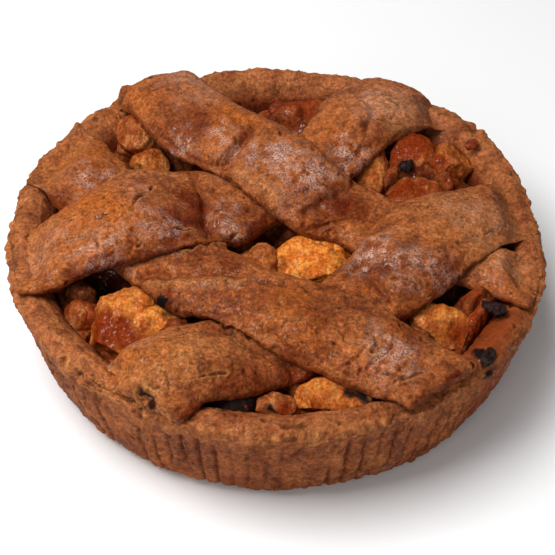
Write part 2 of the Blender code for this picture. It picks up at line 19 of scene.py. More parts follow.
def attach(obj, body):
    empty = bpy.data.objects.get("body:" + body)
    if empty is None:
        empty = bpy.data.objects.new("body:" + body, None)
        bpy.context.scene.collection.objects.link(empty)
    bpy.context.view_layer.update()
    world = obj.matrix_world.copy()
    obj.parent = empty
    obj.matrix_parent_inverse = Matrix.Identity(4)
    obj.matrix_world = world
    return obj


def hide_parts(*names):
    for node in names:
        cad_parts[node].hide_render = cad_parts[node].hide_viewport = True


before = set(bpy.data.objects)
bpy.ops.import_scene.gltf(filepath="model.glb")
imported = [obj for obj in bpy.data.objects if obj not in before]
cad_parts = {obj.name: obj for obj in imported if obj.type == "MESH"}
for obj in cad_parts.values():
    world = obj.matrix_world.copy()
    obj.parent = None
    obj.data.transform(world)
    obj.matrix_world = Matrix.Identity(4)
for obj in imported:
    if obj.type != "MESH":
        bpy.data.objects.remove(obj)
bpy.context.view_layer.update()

MM = 0.001
DOWN = Vector((0, 0, -1))
GOLDEN_ANGLE = 2.39996

# Camera, as the photo has it, in degrees and millimetres
CAMERA_ELEVATION = 44.44
CAMERA_DISTANCE = 500
CAMERA_AIM = (0.61, 0.76, 16.4)
CAMERA_ROLL = 1.883
CAMERA_LENS = 105.76
CAMERA_SENSOR = 36
CAMERA_NEAR = 10

# Sizes of the fine surfaces' grids, passes of smoothing, and how near two points of a solid
# are when they are one
STRIP_VOXEL = 0.46
STRIP_SMOOTHING = 25
FILLING_VOXEL = 0.85
FILLING_SMOOTHING = 5
CHUNK_VOXEL = 0.42
RAISIN_VOXEL = 0.22
LUMP_SMOOTHING = 4
WELD = 0.01

# A strip swells over its solid, and its edges fall towards a much smoother copy
STRIP_SWELL = 0.6
STRIP_ROUNDING = 270
EDGE_FALL = 0.75
CREASE_SHARE = 1.2
CRACK_SHARE = 0.6
LIFT_SHARE = 0.22

# Of a chunk's swelling, the share that goes upwards, and how much a raisin has dried up
CHUNK_RISE = 0.45
RAISIN_SHRINK = 0.45

# The cup's surface is read from its solid at these heights and depths, and made again
# with more columns and rows
FLUTES = 105
COLUMNS_A_FLUTE = 11
OUTER_HEIGHTS = (1.2, 4, 8, 12, 16, 20, 24, 28, 31.5, 34.5)
RIM_DEPTHS = (0.7, 2.0, 3.4, 4.8, 6.2, 7.4)
INNER_HEIGHTS = (33.5, 31, 26, 18, 9)
CUP_ROWS = 80
GROOVE_DEPTH = 0.95
GROOVE_WIDTH = 0.13
GROOVE_TOP = 29
GROOVE_FOOT = 2.5
CROWN_REACHES = (70, 72, 74, 76)
CROWN_START = 90
RAY_START = 120
FOOT_LEVEL = 0.4
FOOT_INSET = 4.0

# Light: a key from above and the left, a weak front light, and white all round
KEY_PLACE = (-0.3, -0.08, 0.7)
KEY_ENERGY = 7.0
FRONT_PLACE = (-0.25, -0.8, 0.5)
FRONT_ENERGY = 1.8
LIGHT_SIZE = 0.5
LIGHT_AIM = (0, 0, 0.03)
WORLD_STRENGTH = 0.23
FLOOR_REACH = 3
FLOOR_WHITE = (0.9, 0.9, 0.9, 1.0)

# Slopes that face this way, away from the key light, get painted shade, partly the darker glaze that
# collects there
SHADED_SIDE = (0.75, -0.5, -0.1)

# Places of pastry's finish, its painted shade and its painted highlights, as (x, y, radius, strength)
ORANGE = [
    (-57, -1, 11, 1.0), (-48, -8, 8, 0.9), (-60, 26, 10, 1.0), (-47, 53, 9, 0.5), (-16, 42, 12, 0.9),
    (-12, 28, 6, 0.5), (4, -38, 9, 0.9), (-5, -38, 6, 0.5), (10, -48, 8, 0.7), (-39, -57, 7, 1.0),
    (-31, -60, 6, 0.8), (-24, -5, 6, 0.6), (20, 36, 8, 0.6), (-44, -18, 7, 0.5), (60, -8, 8, 0.3),
    (8, 4, 7, 0.7), (33, -48, 6, 0.5), (68, -22, 6, 0.4), (38, -32, 6, 0.5), (20, 3, 6, 0.5),
    (-60, -22, 8, 0.4), (38, 47, 7, 0.5), (24, -26, 5, 0.6),
]
# Darker glaze, and painted shade where the light falls less
DARK = [
    (-25, -5, 9, 1.0), (-23, 3, 7, 1.0), (-26, 37, 7, 0.7), (13, 6, 7, 0.8), (11, -46, 8, 0.4),
    (37, -27, 6, 0.6), (-30, -31, 4, 0.9), (-37, -27, 4, 0.6), (-20, -74, 14, 0.3), (5, -78, 14, 0.35),
    (28, -74, 14, 0.3), (45, -64, 10, 0.3), (-58, 20, 10, 0.3), (72, 18, 10, 0.3), (-29, -12, 7, 0.8),
    (19, 7, 8, 1.0), (10, 4, 7, 0.7), (-30, 36, 8, 0.6), (-36, 44, 5, 0.4), (-10, -36, 9, 0.35),
    (12, -40, 8, 0.4), (2, -34, 7, 0.3), (20, 30, 7, 0.5), (27, -24, 7, 0.7), (38, -45, 6, 0.7),
    (-4, -62, 8, 0.9), (5, -58, 7, 0.9), (71, -1, 6, 0.6), (25, 5, 6, 0.8), (-22, -16, 5, 0.6),
    (38, -30, 6, 0.5), (-10, -66, 7, 0.6), (-12, -20, 6, 0.5), (28, 2, 6, 0.5), (-5, 6, 6, 0.5),
    (52, -14, 6, 0.3), (55, -29, 7, 0.7), (58, -36, 9, 1.0), (56, -45, 6, 0.9), (53, 42, 5, 0.6),
    (-66, 9, 5, 0.8), (30, 28, 6, 0.5), (16, -30, 6, 0.3), (-16, -45, 5, 0.5), (46, 40, 7, 0.6),
]
PURPLE = [
    (-27, -33, 7, 0.9), (-15, -38, 8, 1.0), (-7, -36, 7, 0.9), (7, -42, 8, 0.5), (15, -41, 7, 0.9),
    (-31, 40, 7, 1.0), (-25, 34, 6, 0.9), (-44, 10, 7, 0.6), (-36, 14, 7, 0.7), (34, -23, 7, 0.6),
    (-25, -18, 7, 0.8), (-18, -13, 6, 0.7), (-22, 10, 6, 0.5), (-4, 20, 7, 0.4), (42, 50, 7, 0.3),
    (-10, -60, 7, 0.4), (30, -58, 6, 0.5), (-58, 20, 5, 0.3), (-40, 60, 7, 0.4), (26, -12, 5, 0.5),
    (14, -12, 6, 0.4), (47, 6, 6, 0.3), (-40, 2, 5, 0.4),
]
# Painted highlights: pinkish-white streaks painted into the colour where the glaze would catch the light, as
# (x, y, radius, strength)
PAINTED_HIGHLIGHTS = [
    (-17, 31, 4, 1.0), (-12, 24, 5, 0.9), (1, 19, 8, 1.0), (8, 16, 7, 1.0), (12, 13, 4, 0.7),
    (-31, 30, 4, 0.9), (-16, 2, 3, 1.0), (-14, -4, 3, 0.9), (20, 31, 5, 1.0), (29, -16, 5, 1.0),
    (25, -20, 4, 0.8), (38, -21, 6, 0.8), (46, -22, 5, 0.6), (29, -52, 5, 0.9), (33, -56, 6, 0.8),
    (-36, -8, 6, 0.6), (-50, -20, 7, 0.7), (-66, -15, 7, 0.4), (-57, 17, 6, 0.6), (-25, 50, 7, 0.3),
    (30, 46, 5, 0.5), (-43, 3, 5, 0.4), (60, 0, 8, 0.3), (-31, -9, 4, 0.6), (5, 8, 5, 0.5),
    (-33, 62, 5, 0.3), (52, 2, 6, 0.3), (66, -16, 5, 0.4), (-40, -52, 5, 0.4),
]
# Painted sheen: a broad cool reflection painted into the colour, as (x, y, radius, strength)
PAINTED_SHEEN_PLACES = [(30, 54, 7, 1.0), (38, 53, 7, 0.9), (47, 54, 6, 0.5), (-24, 55, 7, 0.5), (-34, 63, 6, 0.5)]
GLOSS = [
    (-14, 29, 7, 1.0), (4, 18, 9, 1.0), (11, 13, 6, 0.9), (-31, 31, 6, 0.8), (-20, -1, 6, 1.0),
    (20, 30, 6, 1.0), (33, -19, 8, 0.9), (45, -23, 6, 0.6), (30, -53, 6, 0.8), (-56, -2, 9, 0.6),
    (-48, -8, 7, 0.7), (-60, 26, 8, 0.6), (-16, 42, 9, 0.7), (-39, -57, 6, 0.6), (4, -38, 8, 0.4),
    (20, 7, 7, 0.8), (-29, 37, 6, 0.6), (-57, 20, 5, 0.7), (-40, -16, 6, 0.6), (10, -46, 6, 0.4),
    (-24, -8, 8, 0.8), (8, 4, 7, 0.7), (58, -36, 9, 1.0), (56, -45, 6, 0.8),
]
# Where a strip's end is baked into the rim
MERGED = [
    (-76, -10, 15, 1.0), (-68, 30, 15, 1.0), (73, 10, 16, 1.0), (78, -15, 12, 0.9), (56, 56, 11, 0.8),
    (-51, -60, 11, 0.9), (-58, 54, 8, 0.6),
]
STRIPS = ("strip_down_back", "strip_up_back", "strip_down_front", "strip_up_front")
# Rises and dents of the strips' tops, as (x, y, radius, rise)
FORMS = {
    "strip_up_back": [
        (-42, 0, 12, 1.3), (-20, -4, 5, -2.0), (-16, -1, 4, 0.6), (-27, 4, 6, 0.5),
        (-57, -6, 7, 0.5), (-66, -4, 6, -0.7), (32, 51, 9, 0.7), (22, 36, 6, -0.8),
        (38, 43, 5, 0.7), (46, 51, 6, -0.8), (-34, -12, 6, 0.5), (-31, 16, 6, -0.8),
    ],
    "strip_down_back": [
        (-30, 41, 9, 0.4), (-18, 29, 5, 0.7), (-38, 51, 5, 0.5), (-26, 26, 6, -0.9),
        (2, 15, 9, 0.8), (-8, 12, 6, -1.0), (14, 3, 6, -1.2), (21, 8, 7, -0.7),
        (-50, 55, 5, 0.5), (-8, 34, 7, 0.6), (68, -14, 7, 0.5), (60, -22, 5, -0.6),
    ],
    "strip_down_front": [
        (-60, 24, 10, 0.6), (-50, 14, 6, -0.8), (-22, -17, 5, -1.3), (-27, -30, 7, 0.5),
        (2, -38, 11, 0.8), (16, -42, 7, -0.5), (31, -53, 8, 0.7), (22, -34, 6, -0.6),
        (-14, -45, 5, -0.8), (42, -58, 6, -0.6), (-72, 20, 6, -0.6),
    ],
    "strip_up_front": [
        (-27, -60, 9, 0.6), (-41, -54, 6, 0.5), (-6, -57, 8, -1.2), (24, -20, 4, -1.5),
        (31, -14, 6, 0.5), (36, -24, 7, 0.8), (28, -28, 4, -0.9), (45, 2, 9, 0.5),
        (38, 7, 6, -0.6), (58, -2, 8, 0.5), (66, -8, 6, -0.7), (42, -30, 5, -0.6),
    ],
}
# Where a strip's edge lies a little aside of its solid, as (x, y, radius, step in x, step in y)
SHIFTS = {
    "strip_down_back": [(17, -6, 7, 0.5, 3.2), (28, -4, 5, 0.5, 1.5)],
    "strip_up_front": [(-12, -71, 6, 0, 1.5)],
}
# Grooves and ridges of the strips, as (depth, width, path)
CREASES = {
    "strip_up_back": [
        (1.3, 1.7, [(-25, 15), (-22, 7), (-21, -3), (-19, -10)]),
        (0.6, 1.3, [(-62, 4), (-55, 10), (-46, 13)]),
        (0.8, 1.0, [(20, 26), (26, 33), (34, 38), (42, 42)]),
        (0.5, 1.0, [(-36, -16), (-28, -13), (-20, -9)]),
        (-0.5, 1.6, [(-46, 12), (-38, 15), (-28, 16)]),
        (0.5, 1.2, [(24, 58), (29, 48), (27, 40)]),
    ],
    "strip_down_back": [
        (2.2, 1.9, [(-24, 19), (-19, 18), (-16, 21), (-12, 26), (-8, 35)]),
        (1.5, 1.3, [(-38, 34), (-33, 31), (-28, 25), (-24, 21)]),
        (-0.6, 2.2, [(-13, 17), (-7, 13), (-2, 9), (0, 5)]),
        (1.0, 1.2, [(8, 2), (14, 7), (22, 14), (25, 22)]),
        (0.6, 1.4, [(-20, 46), (-14, 38), (-11, 32)]),
        (0.5, 1.0, [(12, -3), (19, 0), (27, 3)]),
    ],
    "strip_down_front": [
        (1.4, 1.6, [(-38, -22), (-31, -24), (-22, -25), (-14, -26), (-7, -28), (2, -32)]),
        (-0.7, 1.5, [(-36, -26), (-28, -29), (-19, -30), (-8, -31)]),
        (-0.9, 0.8, [(-27, -17), (-23, -14), (-19, -12), (-16, -10)]),
        (0.7, 1.3, [(-2, -48), (8, -52), (17, -53)]),
        (0.5, 1.2, [(6, -30), (14, -36), (22, -38)]),
        (0.5, 1.2, [(26, -60), (34, -52), (40, -50)]),
        (0.6, 1.3, [(-66, 22), (-58, 14), (-50, 10)]),
    ],
    "strip_up_front": [
        (1.2, 1.3, [(27, -12), (23, -19), (20, -24)]),
        (1.0, 1.2, [(24, -19), (28, -26), (33, -32)]),
        (0.8, 1.1, [(30, -12), (27, -19), (31, -24)]),
        (1.6, 1.3, [(-12, -46), (-6, -50), (0, -54), (6, -58)]),
        (0.6, 1.2, [(50, -14), (58, -10), (66, -4)]),
        (0.8, 1.4, [(30, 5), (36, 10), (44, 14)]),
        (-0.5, 1.4, [(-48, -60), (-38, -66), (-29, -71)]),
    ],
}
# Cracks with lifted edges, as (depth, width, path)
CRACKS = {
    "strip_up_back": [
        (1.4, 0.5, [(-34, -7), (-31, -9), (-27, -9), (-24, -8)]),
        (1.2, 0.45, [(-43, -6), (-41, -1), (-38, 3), (-37, 6)]),
        (1.1, 0.4, [(-72, -7), (-66, -6), (-60, -8), (-55, -8)]),
        (1.0, 0.4, [(-66, -15), (-60, -15), (-54, -14), (-47, -12)]),
        (0.9, 0.4, [(30, 44), (35, 43), (39, 45)]),
        (0.8, 0.35, [(-48, -14), (-43, -17), (-39, -16)]),
    ],
    "strip_down_back": [
        (1.0, 0.45, [(-19, 20), (-17, 23), (-15, 25)]),
        (0.8, 0.35, [(-46, 60), (-42, 56), (-39, 57)]),
        (0.8, 0.35, [(62, -12), (67, -14), (71, -20)]),
        (0.7, 0.35, [(-28, 48), (-24, 47), (-21, 49)]),
    ],
    "strip_down_front": [
        (1.5, 0.55, [(-50, 17), (-48, 19), (-45, 21), (-43, 21)]),
        (1.0, 0.4, [(16, -47), (19, -51), (21, -56)]),
        (1.0, 0.4, [(32, -64), (37, -62), (41, -60)]),
        (1.2, 0.5, [(29, -38), (32, -41), (34, -41)]),
        (1.3, 0.5, [(26, -49), (28, -53), (27, -56)]),
        (0.8, 0.35, [(2, -44), (6, -46), (9, -45)]),
    ],
    "strip_up_front": [
        (1.1, 0.4, [(33, 5), (38, 2), (43, 0), (46, 4), (45, 9)]),
        (1.0, 0.4, [(50, 8), (55, 12), (60, 13)]),
        (1.0, 0.4, [(58, -10), (62, -5), (68, 1)]),
        (1.3, 0.5, [(-31, -63), (-28, -65), (-27, -69)]),
        (1.2, 0.45, [(-23, -66), (-18, -65), (-13, -63)]),
        (1.0, 0.4, [(-27, -60), (-23, -59), (-20, -57)]),
        (1.6, 0.7, [(-35, -69), (-31, -72), (-28, -75)]),
        (0.8, 0.35, [(-46, -58), (-42, -62), (-41, -65)]),
        (0.9, 0.4, [(32, -27), (37, -26), (41, -29)]),
    ],
    "crust": [
        (1.3, 0.5, [(-58, -56), (-52, -59), (-45, -65), (-40, -68)]),
        (1.2, 0.5, [(-41, -63), (-36, -68), (-32, -73)]),
        (1.0, 0.45, [(5, 74), (6, 78)]), (0.9, 0.4, [(-28, 72), (-24, 76)]),
        (1.0, 0.45, [(64, 36), (69, 38)]), (0.9, 0.4, [(40, -64), (46, -62), (52, -58)]),
        (1.0, 0.45, [(-2, -75), (5, -77), (10, -76)]), (0.9, 0.4, [(71, 24), (76, 22)]),
    ],
}
# Torn, crumbly places, as (x, y, radius, strength)
CRUMBS = [
    (-13, -45, 4, 1.0), (-9, -47, 4, 0.9), (-5, -51, 3, 0.7), (-22, -15, 4, 0.7), (-25, -18, 3, 0.8),
    (-30, -62, 4, 0.6), (-34, -70, 4, 0.8), (-46, 62, 4, 0.6), (-53, 56, 4, 0.7), (55, -59, 4, 0.7),
    (48, -65, 3, 0.6), (-47, 20, 3, 0.6), (28, -70, 4, 0.5), (70, -12, 4, 0.4), (-76, -4, 3, 0.5),
    (-50, -60, 4, 0.8), (42, 0, 4, 0.4), (62, 48, 4, 0.7), (27, -22, 4, 0.6),
]

# Caramel that has run over the rim, and charred places, as (x, y, radius, strength)
SPREAD = [
    (62, -36, 7, 1.0), (62, -42, 6, 1.0), (58, -45, 6, 0.9), (66, -32, 5, 0.8), (56, -50, 4, 0.6),
    (60, -28, 6, 0.9), (50, 52, 5, 0.5), (-8, -71, 4, 0.5), (66, -26, 4, 0.5),
]
CHARRED = [
    (-31, -33, 2.2, 0.9), (-27, -35, 1.8, 0.7), (57.5, -49, 2.6, 1.0), (59.5, -52, 2.6, 1.0),
    (61, -48, 1.6, 0.7), (54, -54, 2.0, 0.6), (-13, -70.8, 2.2, 0.9), (65, -30, 2.5, 0.9),
    (-9, -71, 2.2, 0.8),
]
# Paler places of the strips, as (x, y, radius, strength)
PALE = [
    (55, 0, 11, 0.5), (60, -8, 8, 0.5), (-24, -58, 8, 0.5), (-33, -64, 8, 0.3), (36, 50, 9, 0.35),
    (-10, -50, 5, 0.3), (0, 76, 20, 0.2),
]
# Slopes that are kept free of the painted shade on slopes
UNSHADED_SLOPES = [(62, -8, 8, 1.0), (66, -14, 6, 0.6), (70, -4, 6, 0.5)]

# How each chunk is cooked: how brown, how caramelised, how much it has swollen, and how
# many faces it was cut to
CHUNK_LOOKS = {
    "apple_middle": (0.0, 0.1, 1.9, 5), "apple_middle_brown": (0.85, 0.3, 1.8, 5),
    "apple_left": (0.3, 0.35, 2.0, 9), "apple_left_low": (1.0, 0.7, 1.8, 5),
    "apple_back_left": (1.0, 0.6, 2.4, 5), "apple_back_left_low": (0.6, 0.9, 1.5, 5),
    "apple_back_right": (0.85, 0.5, 1.4, 5), "apple_glazed": (0.8, 1.6, 1.6, 6),
    "apple_beside_glazed": (0.6, 0.8, 1.6, 6), "apple_back_right_low": (1.0, 0.9, 1.8, 5),
    "apple_right": (0.5, 0.45, 1.8, 6), "apple_front": (0.4, 0.5, 1.6, 6),
    "apple_front_burnt": (0.7, 0.9, 2.2, 5), "apple_front_small": (0.9, 1.0, 1.5, 5),
}
# Chunks that are burnt all over
CHARRED_CHUNKS = ("apple_front_burnt",)
# Caramel and burnt places of the chunks, as (x, y, z, radius, strength)
CARAMEL_SPOTS = [
    (38, 38, 38, 7, 1.0), (41, 37, 37, 6, 1.0), (50, 33, 36, 4, 0.9), (-43, -41, 36, 4.5, 1.0),
    (13, -66, 35, 3.0, 0.7), (30, -66, 35, 3, 0.8), (-45, -43, 35, 6.5, 1.0), (-48, -41, 34, 6, 1.0),
    (-39, -44, 33, 6, 0.9), (-51, -35, 32, 5, 0.8), (-49, 44, 34, 5, 0.6), (40, 22, 34, 7, 0.9),
    (38, 37, 36, 5, 0.9), (52, -36, 33, 5, 0.7), (3, -9, 33, 3, 0.7), (12, -14, 34, 4, 0.4),
    (-9, -10, 34, 4, 0.5), (46, -31, 35, 4, 0.6), (22, -60, 36, 6, 0.7), (10, -64, 34, 4, 0.5),
    (42, 40, 36, 9, 0.9), (52, 33, 34, 6, 0.8), (30, 30, 32, 6, 0.5), (30, -62, 34, 4, 0.8),
]
BURNT_SPOTS = [
    (-30, -31, 36, 4.5, 1.0), (21, -64, 39, 3.4, 0.9), (25, -65, 38, 3.4, 1.0), (28, -66, 37, 3.4, 1.0),
    (38, 35, 39, 2.6, 0.8), (0, -68, 35, 2.6, 0.9), (-25, -34, 36, 3.5, 0.9),
]
# Where the filling bulges between the chunks, as (x, y, radius, rise)
BULGES = [
    (46, 36, 9, 7.5), (37, 34, 6, 5.0), (54, 30, 6, 5.0), (34, 26, 6, 3.0), (46, 26, 6, 3.0),
    (5, 58, 9, 6.0), (16, 62, 6, 5.0), (-6, 54, 6, 2.0), (-46, 47, 7, 6.0), (-37, 31, 5, 3.0),
    (3, -8, 7, 3.5), (-10, -12, 6, 4.0), (-38, -44, 8, 5.0), (-50, -42, 7, 4.0), (-30, -38, 6, 5.0),
    (20, -60, 7, 5.0), (3, -65, 6, 5.0), (-8, -64, 7, 4.0), (40, -38, 6, 4.0), (55, -34, 6, 6.0),
    (60, -26, 6, 5.0), (62, -33, 5, 5.0), (-64, 5, 5, 3.0), (-18, -62, 6, 4.0), (32, -59, 6, 5.0),
    (-57, -33, 5, 3.0),
]
# Hollows of the filling that get painted shade, and its redder glaze, as (x, y, radius, strength)
SHADED_CAVITIES = [
    (35, 42, 4, 1.0), (38, 38, 4, 0.8), (60, 34, 4, 0.8), (46, 30, 3, 0.8), (56, -13, 5, 1.0),
    (-51, -17, 7, 1.0), (-2, 5, 5, 0.7), (-56, -24, 4, 0.6), (17, 66, 3, 0.5),
]
GLAZED = [
    (42, 38, 12, 1.0), (52, 34, 9, 0.8), (6, 58, 12, 0.9), (-40, 34, 7, 0.8), (56, -32, 9, 0.9),
    (-36, -44, 9, 0.6), (12, -62, 9, 0.7), (-66, 6, 7, 1.0), (-8, -10, 7, 0.5),
]
# Red-brown lumps among the dark raisins
RED_LUMPS = ("raisin_back_left", "raisin_back_right", "raisin_rim")
# Raisins that lie a little aside of their solids, as steps in x, y and z
RAISIN_STEPS = {
    "raisin_rim": (-1.8, -2.0, -1.4), "raisin_corner": (-2.6, 0.8, -1.2),
    "raisin_burnt": (0, 0, -0.9), "raisin_glazed": (-0.4, 0.3, -0.8),
}

# Pastry's colours: its shades from pale to deep, how strongly it is speckled, its finishes, its painted
# shade and its painted highlights
CUP_SHADES = ((0.42, 0.14, 0.044), (0.33, 0.097, 0.032), (0.19, 0.05, 0.018))
CUP_SPECKLE = 0.42
STRIP_SHADES = ((0.42, 0.128, 0.036), (0.31, 0.084, 0.022), (0.15, 0.032, 0.01))
STRIP_SPECKLE = 0.5
ORANGE_GLAZE = (0.4, 0.1, 0.013)
# Deep red-brown of the darker glaze, also used for painted shade
GLAZE_AND_SHADE_BROWN = (0.115, 0.013, 0.002)
PURPLE_BROWN = (0.17, 0.045, 0.02)
# Pinkish white of the painted highlights
PAINTED_HIGHLIGHT_PINK = (0.7, 0.44, 0.35)
# Colour of the painted sheen
PAINTED_SHEEN_COLOUR = (0.42, 0.19, 0.11)
CRUMB = (0.47, 0.18, 0.055)
SPECK = (0.12, 0.03, 0.012)
BRAN = (0.045, 0.012, 0.006)
# Near black painted shade for pits, cracks and grooves
PIT_SHADE = (0.03, 0.008, 0.004)
SPREAD_CARAMEL = (0.27, 0.05, 0.009)
BURNT = (0.012, 0.007, 0.006)
# Colours of the apple, the juice and the raisins
APPLE_YELLOW = (0.66, 0.225, 0.036)
APPLE_AMBER = (0.5, 0.115, 0.012)
APPLE_PALE = (0.75, 0.36, 0.11)
APPLE_BROWN = (0.2, 0.045, 0.012)
APPLE_PINK = (0.34, 0.1, 0.03)
CARAMEL = (0.19, 0.024, 0.003)
JUICE = (0.12, 0.02, 0.004)
PULP = (0.26, 0.07, 0.02)
RED_GLAZE = (0.25, 0.034, 0.005)
# Near black painted shade for the filling's depths
HOLLOW_SHADE = (0.002, 0.001, 0.001)
RAISIN_SHADES = ((0.035, 0.016, 0.013), (0.01, 0.006, 0.005))
RED_LUMP_SHADES = ((0.26, 0.05, 0.014), (0.1, 0.017, 0.006))
# How far light spreads under the apple's skin, for red, green and blue, in millimetres
APPLE_GLOW = (4, 1.4, 0.5)

# Finishes, painted shade and painted highlights that are set by place alone, as (table, seed of the frayed
# edge, fray)
PLACED = {
    "orange": (ORANGE, 3, 3.0), "dark": (DARK, 5, 3.0), "gloss": (GLOSS, 7, 3.0), "purple": (PURPLE, 9, 3.0),
    "painted_highlight": (PAINTED_HIGHLIGHTS, 11, 4.5), "painted_sheen": (PAINTED_SHEEN_PLACES, 15, 3.0), "merged": (MERGED, 17, 2.0),
    "unshaded_slopes": (UNSHADED_SLOPES, 43, 3.0), "spread": (SPREAD, 45, 2.0), "charred": (CHARRED, 47, 1.8),
    "pale": (PALE, 53, 3.0), "shaded_cavities": (SHADED_CAVITIES, 96, 1.5), "glazed": (GLAZED, 97, 3.0),
}


def lattice(cells, seed):
    """A repeatable number from 0 to 1 for each cell of a grid."""
    i, j, k = (cells.astype(np.int64) & 0xFFFFF).T
    mixed = i * 73856093 ^ j * 19349663 ^ k * 83492791 ^ (seed * 15485863 + 97)
    mixed = (mixed ^ (mixed >> 13)) * 1274126177 & 0x7FFFFFFF
    mixed = (mixed ^ (mixed >> 15)) * 668265263 & 0x7FFFFFFF
    return (mixed ^ (mixed >> 16)) / 0x7FFFFFFF


def waves(points, size, seed):
    """Smooth noise from -1 to 1, with waves of a size in millimetres."""
    scaled = points / size
    cell = np.floor(scaled)
    part = scaled - cell
    part = part * part * (3 - 2 * part)
    total = np.zeros(len(points))
    for corner in itertools.product((0, 1), repeat=3):
        share = np.prod(np.where(corner, part, 1 - part), axis=1)
        total += share * lattice(cell + corner, seed)
    return total * 2 - 1


def rough(points, size, seed, octaves=3):
    """Noise with finer and finer waves, each weaker than the last."""
    total = np.zeros(len(points))
    for octave in range(octaves):
        total += waves(points, size / 2 ** octave, seed + 31 * octave) / 2 ** octave
    return total


def eased(value, low, high):
    """0 below low, 1 above high, and a smooth step between them."""
    part = np.clip((value - low) / (high - low), 0, 1)
    return part * part * (3 - 2 * part)


def lines(points, size, width, seed):
    """1 along thin winding lines, fading to 0 beside them."""
    return 1 - eased(np.abs(waves(points, size, seed)), 0, width)


def frayed_plan(points, fray, size, seed):
    """Points in plan, shifted by noise so that whatever is placed by them has a ragged edge."""
    return points[:, :2] + fray * np.stack(
        [waves(points, size, seed), waves(points, size, seed + 1)], axis=1)


def patches(points, places, seed, fray):
    """How strongly a finish covers each point, from a table of places with frayed edges."""
    plan = frayed_plan(points, fray, 4, seed)
    total = np.zeros(len(points))
    for x, y, radius, strength in places:
        far = ((plan - (x, y)) ** 2).sum(axis=1) / radius ** 2
        total = np.maximum(total, strength * np.exp(-far))
    return total


def placed(points, finish):
    """How strongly one of the placed layers (finishes, painted shade and painted highlights) covers each
    point.
    """
    return patches(points, *PLACED[finish])


def spots(points, places, seed):
    """How strongly a finish covers each point, from a table of places that have a height."""
    total = np.zeros(len(points))
    shifted = points + 1.2 * waves(points, 3, seed)[:, None]
    for x, y, z, radius, strength in places:
        far = ((shifted - (x, y, z)) ** 2).sum(axis=1) / radius ** 2
        total = np.maximum(total, strength * np.exp(-far ** 1.5))
    return total


def formed(points, places):
    """Rises and dents from a table of places."""
    total = np.zeros(len(points))
    for x, y, radius, rise in places:
        total += rise * np.exp(-((points[:, :2] - (x, y)) ** 2).sum(axis=1) / radius ** 2)
    return total


def path_distance(plan, path):
    """Distance in plan from each point to a broken line."""
    nearest = np.full(len(plan), 1e9)
    for start, end in zip(path, path[1:]):
        start, step = np.array(start), np.subtract(end, start)
        part = np.clip((plan - start) @ step / (step @ step), 0, 1)
        nearest = np.minimum(nearest, np.linalg.norm(plan - start - part[:, None] * step, axis=1))
    return nearest


def creased(points, node):
    """Depth of a strip's grooves and ridges at each point."""
    plan = frayed_plan(points, 1.1, 3.5, 301)
    total = np.zeros(len(points))
    for depth, width, path in CREASES.get(node, []):
        total += CREASE_SHARE * depth * np.exp(-(path_distance(plan, path) / width) ** 2)
    return total


def cracked(points, node):
    """How far each point is down a crack, and up the lifted edge beside it."""
    plan = frayed_plan(points, 0.8, 1.4, 311)
    faint = 0.35 + 0.65 * eased(waves(points, 2.6, 313), -0.5, 0.3)
    down, up = np.zeros(len(points)), np.zeros(len(points))
    for depth, width, path in CRACKS.get(node, []):
        far = path_distance(plan, path) / (width * faint)
        down = np.maximum(down, CRACK_SHARE * depth * faint * np.exp(-far ** 2))
        up = np.maximum(up, LIFT_SHARE * depth * np.exp(-((far - 2.0) / 1.2) ** 2))
    return down, up


def read_rows(items, name):
    """Three numbers for each item of a mesh, as rows."""
    flat = np.zeros(len(items) * 3, np.float32)
    items.foreach_get(name, flat)
    return flat.reshape(-1, 3).astype(float)


def points_of(mesh):
    """A mesh's points in millimetres."""
    return read_rows(mesh.vertices, "co") / MM


def normals_of(mesh):
    """A mesh's point normals."""
    return read_rows(mesh.vertex_normals, "vector")


def move_points(mesh, points):
    """Set a mesh's points, in millimetres."""
    mesh.vertices.foreach_set("co", (points * MM).astype(np.float32).ravel())
    mesh.update()


def paint(mesh, name, values):
    """Store one number a point for the material to read."""
    layer = mesh.attributes.new(name, "FLOAT", "POINT")
    layer.data.foreach_set("value", np.clip(values, 0, 1).astype(np.float32))


def solid_mesh(node):
    """A copy of a node's mesh with its split points joined."""
    bm = bmesh.new()
    bm.from_mesh(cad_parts[node].data)
    bmesh.ops.remove_doubles(bm, verts=bm.verts, dist=WELD * MM)
    mesh = bpy.data.meshes.new(node + "_fine")
    bm.to_mesh(mesh)
    bm.free()
    return mesh


def refined(node, voxel, smoothing):
    """A node's shape as a fine even mesh with its facets smoothed away."""
    piece = bpy.data.objects.new("work", solid_mesh(node))
    bpy.context.scene.collection.objects.link(piece)
    remesh = piece.modifiers.new("even", "REMESH")
    remesh.mode = "VOXEL"
    remesh.voxel_size = voxel * MM
    smooth = piece.modifiers.new("smooth", "SMOOTH")
    smooth.factor = 0.5
    smooth.iterations = smoothing
    evaluated = piece.evaluated_get(bpy.context.evaluated_depsgraph_get())
    mesh = bpy.data.meshes.new_from_object(evaluated)
    bpy.data.objects.remove(piece, do_unlink=True)
    return mesh


def show(mesh, name, material, slot, *nodes):
    """Put a finished mesh in the scene in place of its nodes."""
    mesh.name = name
    mesh.materials.clear()
    mesh.materials.append(material)
    mesh.shade_smooth()
    piece = bpy.data.objects.new(name, mesh)
    bpy.context.scene.collection.objects.link(piece)
    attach(piece, "root")
    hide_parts(*nodes)
    return piece


